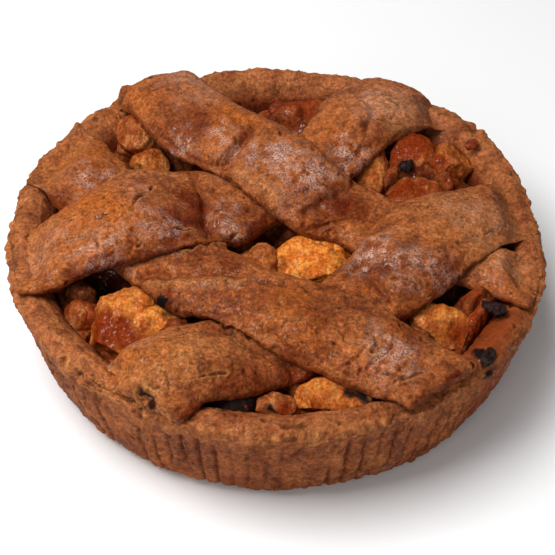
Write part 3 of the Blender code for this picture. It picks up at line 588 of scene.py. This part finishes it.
class Nodes:
    """Short ways to build a material's node tree."""

    def __init__(self, name):
        self.material = bpy.data.materials.new(name)
        self.material.use_nodes = True
        self.tree = self.material.node_tree
        self.shader = self.tree.nodes["Principled BSDF"]
        self.place = self.add("ShaderNodeTexCoord").outputs["Object"]

    def add(self, kind, **settings):
        """Add a node and set its properties."""
        node = self.tree.nodes.new(kind)
        for key, value in settings.items():
            setattr(node, key, value)
        return node

    def put(self, value, socket):
        """Link a socket's output, or set a plain value."""
        if isinstance(value, bpy.types.NodeSocket):
            self.tree.links.new(value, socket)
        else:
            socket.default_value = value

    def feed(self, name, value):
        """Link or set one of the shader's own inputs."""
        self.put(value, self.shader.inputs[name])

    def layer(self, name):
        """The number painted on the points under a name."""
        return self.add("ShaderNodeAttribute", attribute_name=name).outputs["Fac"]

    def noise(self, size, detail=4.0, roughness=0.6, stretch=(1, 1, 1)):
        """Noise with grains of a size in millimetres."""
        mapping = self.add("ShaderNodeMapping")
        mapping.inputs["Scale"].default_value = [share / (size * MM) for share in stretch]
        self.put(self.place, mapping.inputs["Vector"])
        node = self.add("ShaderNodeTexNoise")
        node.inputs["Scale"].default_value = 1.0
        node.inputs["Detail"].default_value = detail
        node.inputs["Roughness"].default_value = roughness
        self.put(mapping.outputs["Vector"], node.inputs["Vector"])
        return node.outputs["Fac"]

    def cells(self, size):
        """Distance to the nearest of scattered points, with a spacing in millimetres."""
        node = self.add("ShaderNodeTexVoronoi")
        node.inputs["Scale"].default_value = 1 / (size * MM)
        self.put(self.place, node.inputs["Vector"])
        return node.outputs["Distance"]

    def ranged(self, value, low, high, start=0.0, end=1.0):
        """Map a value's range to another, with smooth ends."""
        node = self.add("ShaderNodeMapRange", interpolation_type="SMOOTHSTEP")
        self.put(value, node.inputs["Value"])
        for key, number in zip(("From Min", "From Max", "To Min", "To Max"), (low, high, start, end)):
            node.inputs[key].default_value = number
        return node.outputs["Result"]

    def maths(self, operation, first, second):
        """One step of arithmetic."""
        node = self.add("ShaderNodeMath", operation=operation)
        self.put(first, node.inputs[0])
        self.put(second, node.inputs[1])
        return node.outputs["Value"]

    def mix(self, share, first, second, blend="MIX"):
        """Mix two colours."""
        node = self.add("ShaderNodeMix", data_type="RGBA", blend_type=blend)
        self.put(share, node.inputs["Factor"])
        colours = {socket.name: socket for socket in node.inputs if socket.type == "RGBA"}
        for value, name in ((first, "A"), (second, "B")):
            self.put((*value, 1.0) if isinstance(value, tuple) else value, colours[name])
        return [socket for socket in node.outputs if socket.type == "RGBA"][0]

    def bump(self, height, depth, strength=1.0, under=None):
        """Fine relief, with a depth in millimetres."""
        node = self.add("ShaderNodeBump")
        node.inputs["Distance"].default_value = depth * MM
        node.inputs["Strength"].default_value = strength
        self.put(height, node.inputs["Height"])
        if under is not None:
            self.put(under, node.inputs["Normal"])
        return node.outputs["Normal"]

    def broken(self, layer, size, low, high):
        """A painted layer broken up by noise of a size in millimetres."""
        return self.maths("MULTIPLY", self.layer(layer), self.ranged(self.noise(size), low, high))


def pastry_material(name, shades, speckle):
    """Baked wholemeal pastry: mottled, speckled with bran, glazed in places, with painted shade and painted
    highlights.
    """
    pale, mid, deep = shades
    n = Nodes(name)
    colour = n.mix(n.ranged(n.noise(3.0), 0.38, 0.6), mid, pale)
    colour = n.mix(n.ranged(n.noise(6.0, 6.0, 0.65), 0.48, 0.62, 0, 0.85), colour, deep)
    colour = n.mix(n.layer("orange"), colour, ORANGE_GLAZE)
    colour = n.mix(n.broken("purple", 1.8, 0.38, 0.6), colour, PURPLE_BROWN)
    # Darker glaze, and painted shade on steep sides, slopes, creases, flute grooves and the cup's inside
    colour = n.mix(n.layer("dark"), colour, GLAZE_AND_SHADE_BROWN)
    # Painted sheen: a broad reflection painted into the colour
    colour = n.mix(n.broken("painted_sheen", 5.0, 0.2, 0.6), colour, PAINTED_SHEEN_COLOUR)
    colour = n.mix(n.layer("crumb"), colour, CRUMB)
    grain = n.ranged(n.noise(1.0, 6.0, 0.8), 0.36, 0.64, 1.1 - speckle, 1.1 + speckle)
    colour = n.mix(1.0, colour, grain, "MULTIPLY")
    colour = n.mix(1.0, colour, n.ranged(n.noise(2.4, 5.0, 0.7), 0.38, 0.62, 0.8, 1.22), "MULTIPLY")
    colour = n.mix(n.ranged(n.noise(1.5, 5.0, 0.75), 0.56, 0.67, 0, speckle), colour, SPECK)
    # Light crumb specks are kept out of the darker glaze and the painted shade
    fresh = n.maths("SUBTRACT", 1.0, n.layer("dark"))
    bright = n.maths("MULTIPLY", n.ranged(n.noise(0.9, 4.0, 0.7), 0.56, 0.68, 0, 0.6), fresh)
    colour = n.mix(bright, colour, CRUMB)
    colour = n.mix(n.ranged(n.cells(1.9), 0.07, 0.2, speckle, 0.0), colour, BRAN)
    clumps = n.ranged(n.noise(0.55, 4.0, 0.7), 0.4, 0.6)
    # Painted highlights: pinkish-white clumps painted where the glaze catches the light
    colour = n.mix(n.maths("MULTIPLY", n.broken("painted_highlight", 3.0, 0.38, 0.58), clumps), colour, PAINTED_HIGHLIGHT_PINK)
    colour = n.mix(n.broken("spread", 2.0, 0.3, 0.5), colour, SPREAD_CARAMEL)
    # Painted shade in pits, cracks, flute grooves and low in the cup
    colour = n.mix(n.layer("pit_shade"), colour, PIT_SHADE)
    colour = n.mix(n.layer("charred"), colour, BURNT)
    n.feed("Base Color", colour)
    n.feed("Roughness", n.ranged(n.noise(1.4), 0.3, 0.7, 0.8, 0.55))
    n.feed("Specular IOR Level", 0.04)
    n.feed("Coat Weight", n.broken("gloss", 0.8, 0.51, 0.6))
    n.feed("Coat Roughness", 0.18)
    fine = n.bump(n.noise(1.0, 6.0, 0.76), 0.95, 0.9)
    n.feed("Normal", n.bump(n.cells(1.1), 0.15, 0.5, fine))
    return n.material


def apple_material(name):
    """Baked apple: juicy, fibrous, browned at its edges, with painted shade on its undersides and in its
    dips.
    """
    n = Nodes(name)
    fibre = n.noise(1.5, 5.0, 0.65, (1, 0.25, 0.6))
    fresh = n.mix(n.ranged(n.noise(3.5), 0.42, 0.6), APPLE_AMBER, APPLE_YELLOW)
    cooked = n.mix(n.ranged(n.noise(3.0), 0.4, 0.6), APPLE_BROWN, APPLE_PINK)
    colour = n.mix(n.layer("tone"), fresh, cooked)
    colour = n.mix(n.ranged(fibre, 0.5, 0.66, 0, 0.4), colour, APPLE_PALE)
    colour = n.mix(n.ranged(n.noise(1.3, 4.0, 0.7), 0.54, 0.66, 0, 0.6), colour, APPLE_AMBER)
    # Caramel, with painted shade on the undersides and in the dips
    colour = n.mix(n.layer("caramel"), colour, CARAMEL)
    grain = n.ranged(n.noise(1.0, 5.0, 0.75), 0.35, 0.65, 0.6, 1.4)
    colour = n.mix(1.0, colour, grain, "MULTIPLY")
    colour = n.mix(n.layer("burnt"), colour, BURNT)
    n.feed("Base Color", colour)
    n.feed("Roughness", 0.5)
    n.feed("Specular IOR Level", 0.03)
    wet = n.maths("SUBTRACT", n.ranged(n.noise(0.8, 5.0), 0.54, 0.64, 0, 0.6), n.layer("burnt"))
    n.feed("Coat Weight", n.maths("MAXIMUM", wet, 0.0))
    n.feed("Coat Roughness", 0.15)
    n.feed("Subsurface Weight", 0.1)
    n.feed("Subsurface Radius", [reach * MM for reach in APPLE_GLOW])
    n.feed("Subsurface Scale", 0.5)
    fine = n.bump(fibre, 0.5, 0.7)
    n.feed("Normal", n.bump(n.noise(0.8, 5.0, 0.7), 0.3, 0.8, fine))
    return n.material


def filling_material():
    """Caramelised juice and soft apple between the chunks, with painted shade in its depths and hollows."""
    n = Nodes("filling")
    colour = n.mix(n.ranged(n.noise(4.0), 0.42, 0.62), JUICE, PULP)
    colour = n.mix(n.layer("glazed"), colour, RED_GLAZE)
    grain = n.ranged(n.noise(1.2, 5.0, 0.7), 0.33, 0.67, 0.55, 1.45)
    colour = n.mix(1.0, colour, grain, "MULTIPLY")
    # Painted shade, near black, low in the filling and in its hollows
    colour = n.mix(n.layer("deep"), colour, HOLLOW_SHADE)
    n.feed("Base Color", colour)
    n.feed("Roughness", 0.5)
    n.feed("Specular IOR Level", 0.04)
    n.feed("Coat Weight", n.ranged(n.noise(0.8, 5.0), 0.54, 0.62, 0, 0.8))
    n.feed("Coat Roughness", 0.1)
    n.feed("Normal", n.bump(n.noise(1.2, 5.0, 0.7), 0.8, 0.9))
    return n.material


def char_material(name):
    """Apple burnt to a black crust, with red-brown left between."""
    n = Nodes(name)
    left = n.ranged(n.noise(3.0, 5.0, 0.7), 0.56, 0.66)
    n.feed("Base Color", n.mix(left, BURNT, CARAMEL))
    n.feed("Roughness", 0.8)
    n.feed("Specular IOR Level", 0.02)
    n.feed("Coat Weight", n.ranged(n.noise(0.7, 4.0), 0.6, 0.66, 0, 0.5))
    n.feed("Coat Roughness", 0.2)
    n.feed("Normal", n.bump(n.noise(0.8, 5.0, 0.7), 0.6, 1.0))
    return n.material


def raisin_material(name, shades):
    """Wrinkled skin with a dull shine."""
    light, dark = shades
    n = Nodes(name)
    n.feed("Base Color", n.mix(n.ranged(n.noise(1.5), 0.4, 0.65), dark, light))
    n.feed("Roughness", n.ranged(n.noise(0.8), 0.35, 0.65, 0.3, 0.6))
    n.feed("Specular IOR Level", 0.04)
    n.feed("Coat Weight", n.ranged(n.noise(0.7, 4.0), 0.6, 0.67, 0, 0.5))
    n.feed("Coat Roughness", 0.2)
    n.feed("Normal", n.bump(n.noise(0.7, 4.0), 0.3, 0.9))
    return n.material


def crumbly(points, seed):
    """Height of pastry's own relief, and how deep its pits are, for painted shade in them."""
    height = rough(points, 11, seed, 2) * 0.42 + rough(points, 3.4, seed + 3) * 0.27
    height += rough(points, 1.5, seed + 4, 2) * 0.17
    dented = eased(waves(points, 1.5, seed + 5), 0.66, 0.9)
    winding = lines(points + 0.5 * waves(points, 1.3, seed + 6)[:, None], 6, 0.03, seed + 7)
    winding *= eased(waves(points, 9, seed + 8), 0.3, 0.55) * eased(waves(points, 2, seed + 10), -0.2, 0.3)
    torn = patches(points, CRUMBS, seed + 9, 1.5)
    ragged = rough(points, 2.2, seed + 11)
    height += torn * 1.2 * ragged
    height += charred(points) * (0.15 + 0.4 * rough(points, 1.4, seed + 12))
    pit_shade = np.maximum.reduce([dented * 0.7, winding, torn * eased(-ragged, 0.2, 0.9)])
    return height - 0.4 * np.maximum(dented, winding), pit_shade


def charred(points):
    """How burnt pastry is at each point. Only its top burns."""
    burnt = placed(points, "charred") + 0.3 * rough(points, 1.6, 49, 2)
    return eased(burnt, 0.4, 0.75) * eased(points[:, 2], 31, 34)


def stained(points):
    """How purple-brown the strips are at each point."""
    return np.maximum(placed(points, "purple"), 0.3 * (waves(points, 9, 13) > 0.35))


def paint_pastry(mesh, points, dark, purple, pit_shade, crumb, share):
    """Store the finish of pastry, with its painted shade and painted highlights. Its orange glaze, painted
    highlights and gloss have a share of their strength.
    """
    spread = placed(points, "spread")
    burnt = charred(points)
    glossy = np.maximum(np.maximum(placed(points, "gloss"), 0.3) * share, spread)
    finish = {
        "orange": placed(points, "orange") * 0.9 * share,
        "dark": np.maximum(placed(points, "dark"), dark),
        "purple": purple,
        "painted_highlight": placed(points, "painted_highlight") * share,
        "painted_sheen": placed(points, "painted_sheen"),
        "spread": spread,
        "charred": burnt,
        "gloss": glossy * (1 - 0.8 * burnt),
        "pit_shade": pit_shade,
        "crumb": crumb,
    }
    for name, values in finish.items():
        paint(mesh, name, values)


def cup_tree():
    """A search tree over the cup's solid."""
    mesh = solid_mesh("crust")
    corners = [vertex.co / MM for vertex in mesh.vertices]
    tree = BVHTree.FromPolygons(corners, [tuple(face.vertices) for face in mesh.polygons])
    bpy.data.meshes.remove(mesh)
    return tree


def section_at(tree, angle):
    """The cup's section at an angle, from under its foot, up, over and down inside."""
    out = Vector((math.cos(angle), math.sin(angle), 0))
    section = []
    for height in OUTER_HEIGHTS:
        reach = tree.ray_cast(out * RAY_START + Vector((0, 0, height)), -out)[3]
        section.append((RAY_START - reach, height))
    edge = section[-1][0]
    for depth in RIM_DEPTHS:
        top = tree.ray_cast(out * (edge - depth) + Vector((0, 0, RAY_START)), DOWN)[0]
        section.append((edge - depth, top.z))
    for height in INNER_HEIGHTS:
        reach = tree.ray_cast(Vector((0, 0, height)), out)[3]
        section.append((reach, height))
    return section


def cup_sections(tree):
    """The cup's sections all round, evened out over each flute and read between them."""
    raw = np.array([section_at(tree, (k + 0.5) * math.pi / FLUTES) for k in range(2 * FLUTES)])
    even = (raw[0::2] + raw[1::2]) / 2
    waves_round = np.fft.rfft(even, axis=0)
    waves_round[FLUTES // 3:] = 0
    count = FLUTES * COLUMNS_A_FLUTE
    return np.fft.irfft(waves_round, count, axis=0) * (count / FLUTES)


def smooth_rows(sections, count):
    """Read a smooth curve through each section's points."""
    first, last = sections[:, :1], sections[:, -1:]
    foot = np.concatenate([first[:, :, :1] - FOOT_INSET, np.zeros_like(first[:, :, 1:])], axis=2)
    padded = np.concatenate([foot, foot, sections, last, last], axis=1)
    places = np.linspace(0, padded.shape[1] - 3, count, endpoint=False)
    rows = []
    for place in places:
        start = int(place)
        u = place - start
        a, b, c, d = (padded[:, min(start + k, padded.shape[1] - 1)] for k in range(4))
        rows.append(0.5 * (2 * b + (c - a) * u + (2 * a - 5 * b + 4 * c - d) * u ** 2
                           + (3 * b - a - 3 * c + d) * u ** 3))
    return np.stack(rows, axis=1)


def closed_tube(grid):
    """A mesh from rows round an axis, closed at both ends by a middle point."""
    columns, rows = grid.shape[:2]
    verts = grid.reshape(-1, 3)
    low = np.array([[0, 0, grid[:, 0, 2].mean()]])
    high = np.array([[0, 0, grid[:, -1, 2].mean()]])
    index = np.arange(columns * rows).reshape(columns, rows)
    after = np.roll(index, -1, axis=0)
    quads = np.stack([index[:, :-1], after[:, :-1], after[:, 1:], index[:, 1:]], axis=-1)
    bottom, top = len(verts), len(verts) + 1
    faces = quads.reshape(-1, 4).tolist()
    faces += [(bottom, b, a) for a, b in zip(index[:, 0].tolist(), after[:, 0].tolist())]
    faces += [(top, a, b) for a, b in zip(index[:, -1].tolist(), after[:, -1].tolist())]
    mesh = bpy.data.meshes.new("tube")
    mesh.from_pydata((np.vstack([verts, low, high]) * MM).tolist(), [], faces)
    mesh.update()
    return mesh


def cup_mesh(tree):
    """The cup's surface, with more columns and rows than its solid."""
    profile = smooth_rows(cup_sections(tree), CUP_ROWS)
    columns = profile.shape[0]
    angles = (np.arange(columns) + 0.5 * COLUMNS_A_FLUTE) * 2 * math.pi / columns
    around = np.stack([np.cos(angles), np.sin(angles)], axis=1)
    return closed_tube(np.concatenate([profile[:, :, :1] * around[:, None, :], profile[:, :, 1:]], axis=2))


def flute_grooves(points, steep):
    """How deep each point is in a groove of the wall, from 0 to 1. Some grooves are worn away."""
    low = points[:, 2]
    turn = np.arctan2(points[:, 1], points[:, 0]) / (2 * math.pi)
    phase = (turn * FLUTES + 0.1 * waves(points, 6, 22)) % 1 - 0.5
    worn = eased(rough(points * (1, 1, 0.35), 8, 21, 2), -0.7, 0.3)
    tall = GROOVE_TOP + 4 * waves(points * (1, 1, 0), 7, 23)
    groove = np.exp(-(phase / GROOVE_WIDTH) ** 2) * worn * steep
    return groove * (1 - eased(low, tall - 3, tall)) * eased(low, GROOVE_FOOT - 2, GROOVE_FOOT)


def make_cup(material, tree):
    """The pastry cup: its fluted wall and its crumbly rim."""
    mesh = cup_mesh(tree)
    points, normals = points_of(mesh), normals_of(mesh)
    low = points[:, 2]
    radius = np.hypot(points[:, 0], points[:, 1])
    outward = (normals[:, :2] * points[:, :2]).sum(axis=1) / np.maximum(radius, 1)
    side = (radius > 60) * (low > FOOT_LEVEL)
    steep = side * eased(outward, 0.3, 0.7)
    inner = side * eased(-outward, 0.1, 0.5) * (1 - eased(low, 30, 35.5))
    topside = eased(normals[:, 2], 0.2, 0.6)
    lip = steep * eased(low, 28, 33)
    groove = flute_grooves(points, steep)

    height, pit_shade = crumbly(points, 25)
    down, up = cracked(points, "crust")
    height += 0.36 * rough(points, 1.7, 27) * steep + topside * (up - down)
    height += 0.55 * lip * rough(points, 2.2, 29)
    height -= 0.35 * steep * eased(waves(points, 3.2, 31), 0.35, 0.8)
    raised = np.where(low < FOOT_LEVEL, 0, 0.3 + height - GROOVE_DEPTH * groove)
    moved = points + normals * raised[:, None]
    moved[:, 2] = np.maximum(moved[:, 2], 0)
    move_points(mesh, moved)

    # The wall is darker at random and towards the bottom. The flute grooves and the cup's inside get painted
    # shade, darkest low down inside, and pits and cracks get painted shade too
    wall = steep * (1 - eased(low, 27, 35))
    darkened = wall * (0.1 + 0.3 * eased(waves(points, 13, 33), -0.3, 0.6) + 0.1 * (1 - eased(low, 4, 14)))
    dark = np.maximum.reduce([darkened, 0.75 * groove, 0.9 * inner])
    pits = np.maximum.reduce([pit_shade * 0.9, groove * 0.35, topside * down, inner * (1 - eased(low, 22, 32))])
    crumb = 0.7 * lip * eased(waves(points, 1.5, 35), -0.1, 0.6) + topside * up
    purple = wall * eased(rough(points * (1, 1, 0.6), 6, 37, 2), 0.1, 0.7)
    paint_pastry(mesh, points, dark, purple, pits, crumb, 0.6)
    show(mesh, "pastry_cup", material, "crust", "crust")


def rim_line(tree):
    """Height of the rim's crown, and its outer edge, at each degree round the cup."""
    crown, edge = [], []
    for degree in range(361):
        angle = math.radians(degree)
        out = Vector((math.cos(angle), math.sin(angle), 0))
        starts = [out * reach + Vector((0, 0, CROWN_START)) for reach in CROWN_REACHES]
        hits = [tree.ray_cast(start, DOWN)[0] for start in starts]
        crown.append(max(hit.z for hit in hits if hit is not None))
        outside = out * RAY_START + Vector((0, 0, OUTER_HEIGHTS[-1]))
        edge.append(RAY_START - tree.ray_cast(outside, -out)[3])
    return np.array(crown), np.array(edge)


def sunk_to_rim(points, crown, edge):
    """Points of a strip with its merged ends thinned away into the cup's rim."""
    degree = np.degrees(np.arctan2(points[:, 1], points[:, 0])) % 360
    radius = np.hypot(points[:, 0], points[:, 1])
    over = points[:, 2] - np.interp(degree, np.arange(361), crown)
    past = np.maximum(radius - np.interp(degree, np.arange(361), edge) + 0.9, 0)
    outer = eased(radius, 65, 74) * eased(placed(points, "merged"), 0.12, 0.5)
    share = outer * eased(over, -1.5, 0.5)
    fallen = points.copy()
    fallen[:, 2] -= share * np.maximum(over + 0.3 * outer, 0)
    fallen[:, :2] *= (1 - outer * past / radius)[:, None]
    return fallen, share


def make_strips(material, tree):
    """The four woven strips."""
    crown, edge = rim_line(tree)
    for seed, node in enumerate(STRIPS):
        mesh = refined(node, STRIP_VOXEL, STRIP_SMOOTHING)
        rounded = refined(node, STRIP_VOXEL, STRIP_ROUNDING)
        points, normals = points_of(mesh), normals_of(mesh)
        fall = np.minimum(points_of(rounded)[:, 2] - points[:, 2], 0) * EDGE_FALL
        bpy.data.meshes.remove(rounded)
        top = eased(normals[:, 2], -0.1, 0.5)
        height, pit_shade = crumbly(points, 40 + 10 * seed)
        groove = creased(points, node)
        down, up = cracked(points, node)
        moved = points + normals * (STRIP_SWELL + height + top * (up - down - groove))[:, None]
        moved[:, 2] += top * (formed(points, FORMS[node]) + fall)
        for x, y, radius, step_x, step_y in SHIFTS.get(node, []):
            share = formed(points, [(x, y, radius, 1.0)])[:, None]
            moved[:, :2] += share * (step_x, step_y)
        moved, sunk = sunk_to_rim(moved, crown, edge)
        move_points(mesh, moved)
        normals = normals_of(mesh)
        # Painted shade on the strips: on their steep sides, on slopes turned away from the key light (partly
        # darker glaze there) and in their creases; it goes to the dark layer
        side = 0.5 * (1 - eased(normals[:, 2], 0.2, 0.75))
        turned = 0.9 * eased(normals @ SHADED_SIDE, 0.08, 0.45) * eased(rough(points, 7, 19, 2), -0.8, 0.4)
        turned *= 1 - placed(points, "unshaded_slopes")
        dark = np.maximum.reduce([side, turned, 0.4 * np.clip(groove, 0, 1.2)])
        # Painted shade in pits and down the cracks
        pits = np.maximum(pit_shade * 0.9, eased(down, 0.25, 0.9))
        crumb = up * 1.6 + 0.35 * sunk + 0.6 * np.clip(-groove, 0, 1) + placed(points, "pale")
        paint_pastry(mesh, points, dark, stained(points), pits, crumb, 1.0)
        show(mesh, node.replace("strip", "pastry_strip"), material, "strip", node)


def make_filling(material):
    """The heap under the strips."""
    mesh = refined("filling", FILLING_VOXEL, FILLING_SMOOTHING)
    points, normals = points_of(mesh), normals_of(mesh)
    top = eased(points[:, 2], 8, 14)
    height = 0.9 * rough(points, 5, 91) + 0.4 * rough(points, 2.0, 93)
    moved = points + normals * (top * (0.3 + height))[:, None]
    moved[:, 2] += top * formed(points, BULGES) * eased(normals[:, 2], -0.2, 0.5)
    move_points(mesh, moved)
    # Painted shade: near black lower down in the filling and in its hollows
    deep = 1 - eased(moved[:, 2] + 2 * waves(points, 5, 95), 20, 29)
    paint(mesh, "deep", np.maximum(deep, 0.85 * placed(points, "shaded_cavities")))
    paint(mesh, "glazed", placed(points, "glazed") * eased(rough(points, 3.5, 99, 2), -0.6, 0.4))
    show(mesh, "apple_filling", material, "filling", "filling")


def cut_faces(points, middle, count, seed):
    """Press a lump's points back to a few flat faces, as a knife leaves them."""
    turned = seed * 2.4
    for k in range(count):
        level = 1 - 2 * (k + 0.5) / count
        round_ = math.sqrt(1 - level * level)
        angle = turned + k * GOLDEN_ANGLE
        face = np.array((round_ * math.cos(angle), round_ * math.sin(angle), level))
        reach = (points - middle) @ face
        limit = reach.max() * (0.68 + 0.17 * math.sin(seed * 3.1 + k * 1.7) ** 2)
        points = points - face * (0.93 * np.maximum(reach - limit, 0))[:, None]
    return points


def make_chunks(material, char):
    """The apple chunks that show."""
    for seed, (node, (tone, caramel, swell, faces)) in enumerate(CHUNK_LOOKS.items()):
        mesh = refined(node, CHUNK_VOXEL, LUMP_SMOOTHING)
        points, normals = points_of(mesh), normals_of(mesh)
        middle = points.mean(axis=0)
        swollen = points + normals * (1, 1, CHUNK_RISE) * swell
        swollen = cut_faces(swollen, middle, faces, seed)
        move_points(mesh, swollen)
        normals = normals_of(mesh)
        fibres = rough(swollen * (1, 0.35, 0.8), 2.2, 130 + seed)
        lumps = rough(swollen, 6, 100 + seed, 2)
        fine = rough(swollen, 1.3, 140 + seed, 2)
        moved = swollen + normals * (0.5 * lumps + 0.36 * fibres + 0.16 * fine)[:, None]
        move_points(mesh, moved)
        normals = normals_of(mesh)
        edge = np.linalg.norm((points - middle) / (points.max(axis=0) - middle), axis=1)
        darkened = caramel * eased(edge + 0.6 * rough(points, 5, 160 + seed), 0.6, 1.7)
        # Painted shade on the undersides and in the dips of the lumps, stored with the caramel
        darkened = np.maximum(darkened, 0.8 * (1 - eased(normals[:, 2], -0.5, 0.3)))
        darkened = np.maximum(darkened, 0.6 * eased(-lumps, 0.4, 1.0))
        paint(mesh, "tone", tone + 0.25 * waves(points, 6, 165 + seed))
        cooked = np.maximum(darkened, spots(moved, CARAMEL_SPOTS, 170))
        paint(mesh, "caramel", eased(cooked + 0.25 * rough(points, 2.4, 180 + seed), 0.05, 0.95))
        scorched = spots(moved, BURNT_SPOTS, 175) * eased(rough(points, 2.0, 185 + seed, 2), -0.7, 0.5)
        paint(mesh, "burnt", eased(scorched, 0.1, 0.8))
        looks = char if node in CHARRED_CHUNKS else material
        show(mesh, node.replace("apple", "chunk"), looks, "apple", node)


def make_raisins(black, red):
    """The raisins that show, and the red-brown lumps among them."""
    for seed, node in enumerate(sorted(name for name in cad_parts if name.startswith("raisin_"))):
        mesh = refined(node, RAISIN_VOXEL, LUMP_SMOOTHING)
        points, normals = points_of(mesh), normals_of(mesh)
        folds = 0.3 * (1 - 2 * np.abs(rough(points, 1.6, 190 + seed, 2)))
        wrinkle = folds + 0.45 * rough(points, 3, 195 + seed)
        moved = points + normals * (wrinkle - RAISIN_SHRINK)[:, None]
        move_points(mesh, moved + RAISIN_STEPS.get(node, (0, 0, 0)))
        material = red if node in RED_LUMPS else black
        show(mesh, node.replace("raisin", "dark_raisin"), material, "raisin", node)


def make_floor():
    """A plain pale floor."""
    mesh = bpy.data.meshes.new("floor")
    corners = [(-1, -1, 0), (1, -1, 0), (1, 1, 0), (-1, 1, 0)]
    mesh.from_pydata([(x * FLOOR_REACH, y * FLOOR_REACH, z) for x, y, z in corners], [], [(0, 1, 2, 3)])
    n = Nodes("floor")
    n.feed("Base Color", FLOOR_WHITE)
    n.feed("Roughness", 0.9)
    mesh.materials.append(n.material)
    floor = bpy.data.objects.new("floor", mesh)
    bpy.context.scene.collection.objects.link(floor)


def add_light(name, place, energy):
    """A square soft light that points at the pie."""
    data = bpy.data.lights.new(name, "AREA")
    data.size = LIGHT_SIZE
    data.energy = energy
    light = bpy.data.objects.new(name, data)
    light.location = place
    light.rotation_euler = (Vector(LIGHT_AIM) - Vector(place)).to_track_quat("-Z", "Y").to_euler()
    bpy.context.scene.collection.objects.link(light)


def make_lights():
    """Soft studio light."""
    world = bpy.data.worlds.new("studio")
    world.use_nodes = True
    background = world.node_tree.nodes["Background"].inputs
    background["Color"].default_value = (1.0, 1.0, 1.0, 1.0)
    background["Strength"].default_value = WORLD_STRENGTH
    bpy.context.scene.world = world
    add_light("key", KEY_PLACE, KEY_ENERGY)
    add_light("front", FRONT_PLACE, FRONT_ENERGY)


def make_camera():
    """The camera at the photo's angle."""
    tilt = math.radians(CAMERA_ELEVATION)
    roll = math.radians(CAMERA_ROLL)
    ahead = Vector((0, math.cos(tilt), -math.sin(tilt)))
    up = Vector((0, math.sin(tilt), math.cos(tilt)))
    right = Vector((1, 0, 0))
    across = right * math.cos(roll) + up * math.sin(roll)
    upward = up * math.cos(roll) - right * math.sin(roll)
    place = Matrix((across, upward, -ahead)).transposed().to_4x4()
    place.translation = Vector(CAMERA_AIM) * MM - ahead * CAMERA_DISTANCE * MM
    data = bpy.data.cameras.new("camera")
    data.lens = CAMERA_LENS
    data.sensor_width = CAMERA_SENSOR
    data.clip_start = CAMERA_NEAR * MM
    camera = bpy.data.objects.new("camera", data)
    camera.matrix_world = place
    bpy.context.scene.collection.objects.link(camera)
    bpy.context.scene.camera = camera


bpy.context.scene.view_settings.view_transform = "Standard"
make_camera()
make_lights()
make_floor()
cup_solid = cup_tree()
make_cup(pastry_material("cup_pastry", CUP_SHADES, CUP_SPECKLE), cup_solid)
make_strips(pastry_material("strip_pastry", STRIP_SHADES, STRIP_SPECKLE), cup_solid)
make_filling(filling_material())
make_chunks(apple_material("apple"), char_material("char"))
make_raisins(raisin_material("raisin", RAISIN_SHADES), raisin_material("red_lump", RED_LUMP_SHADES))
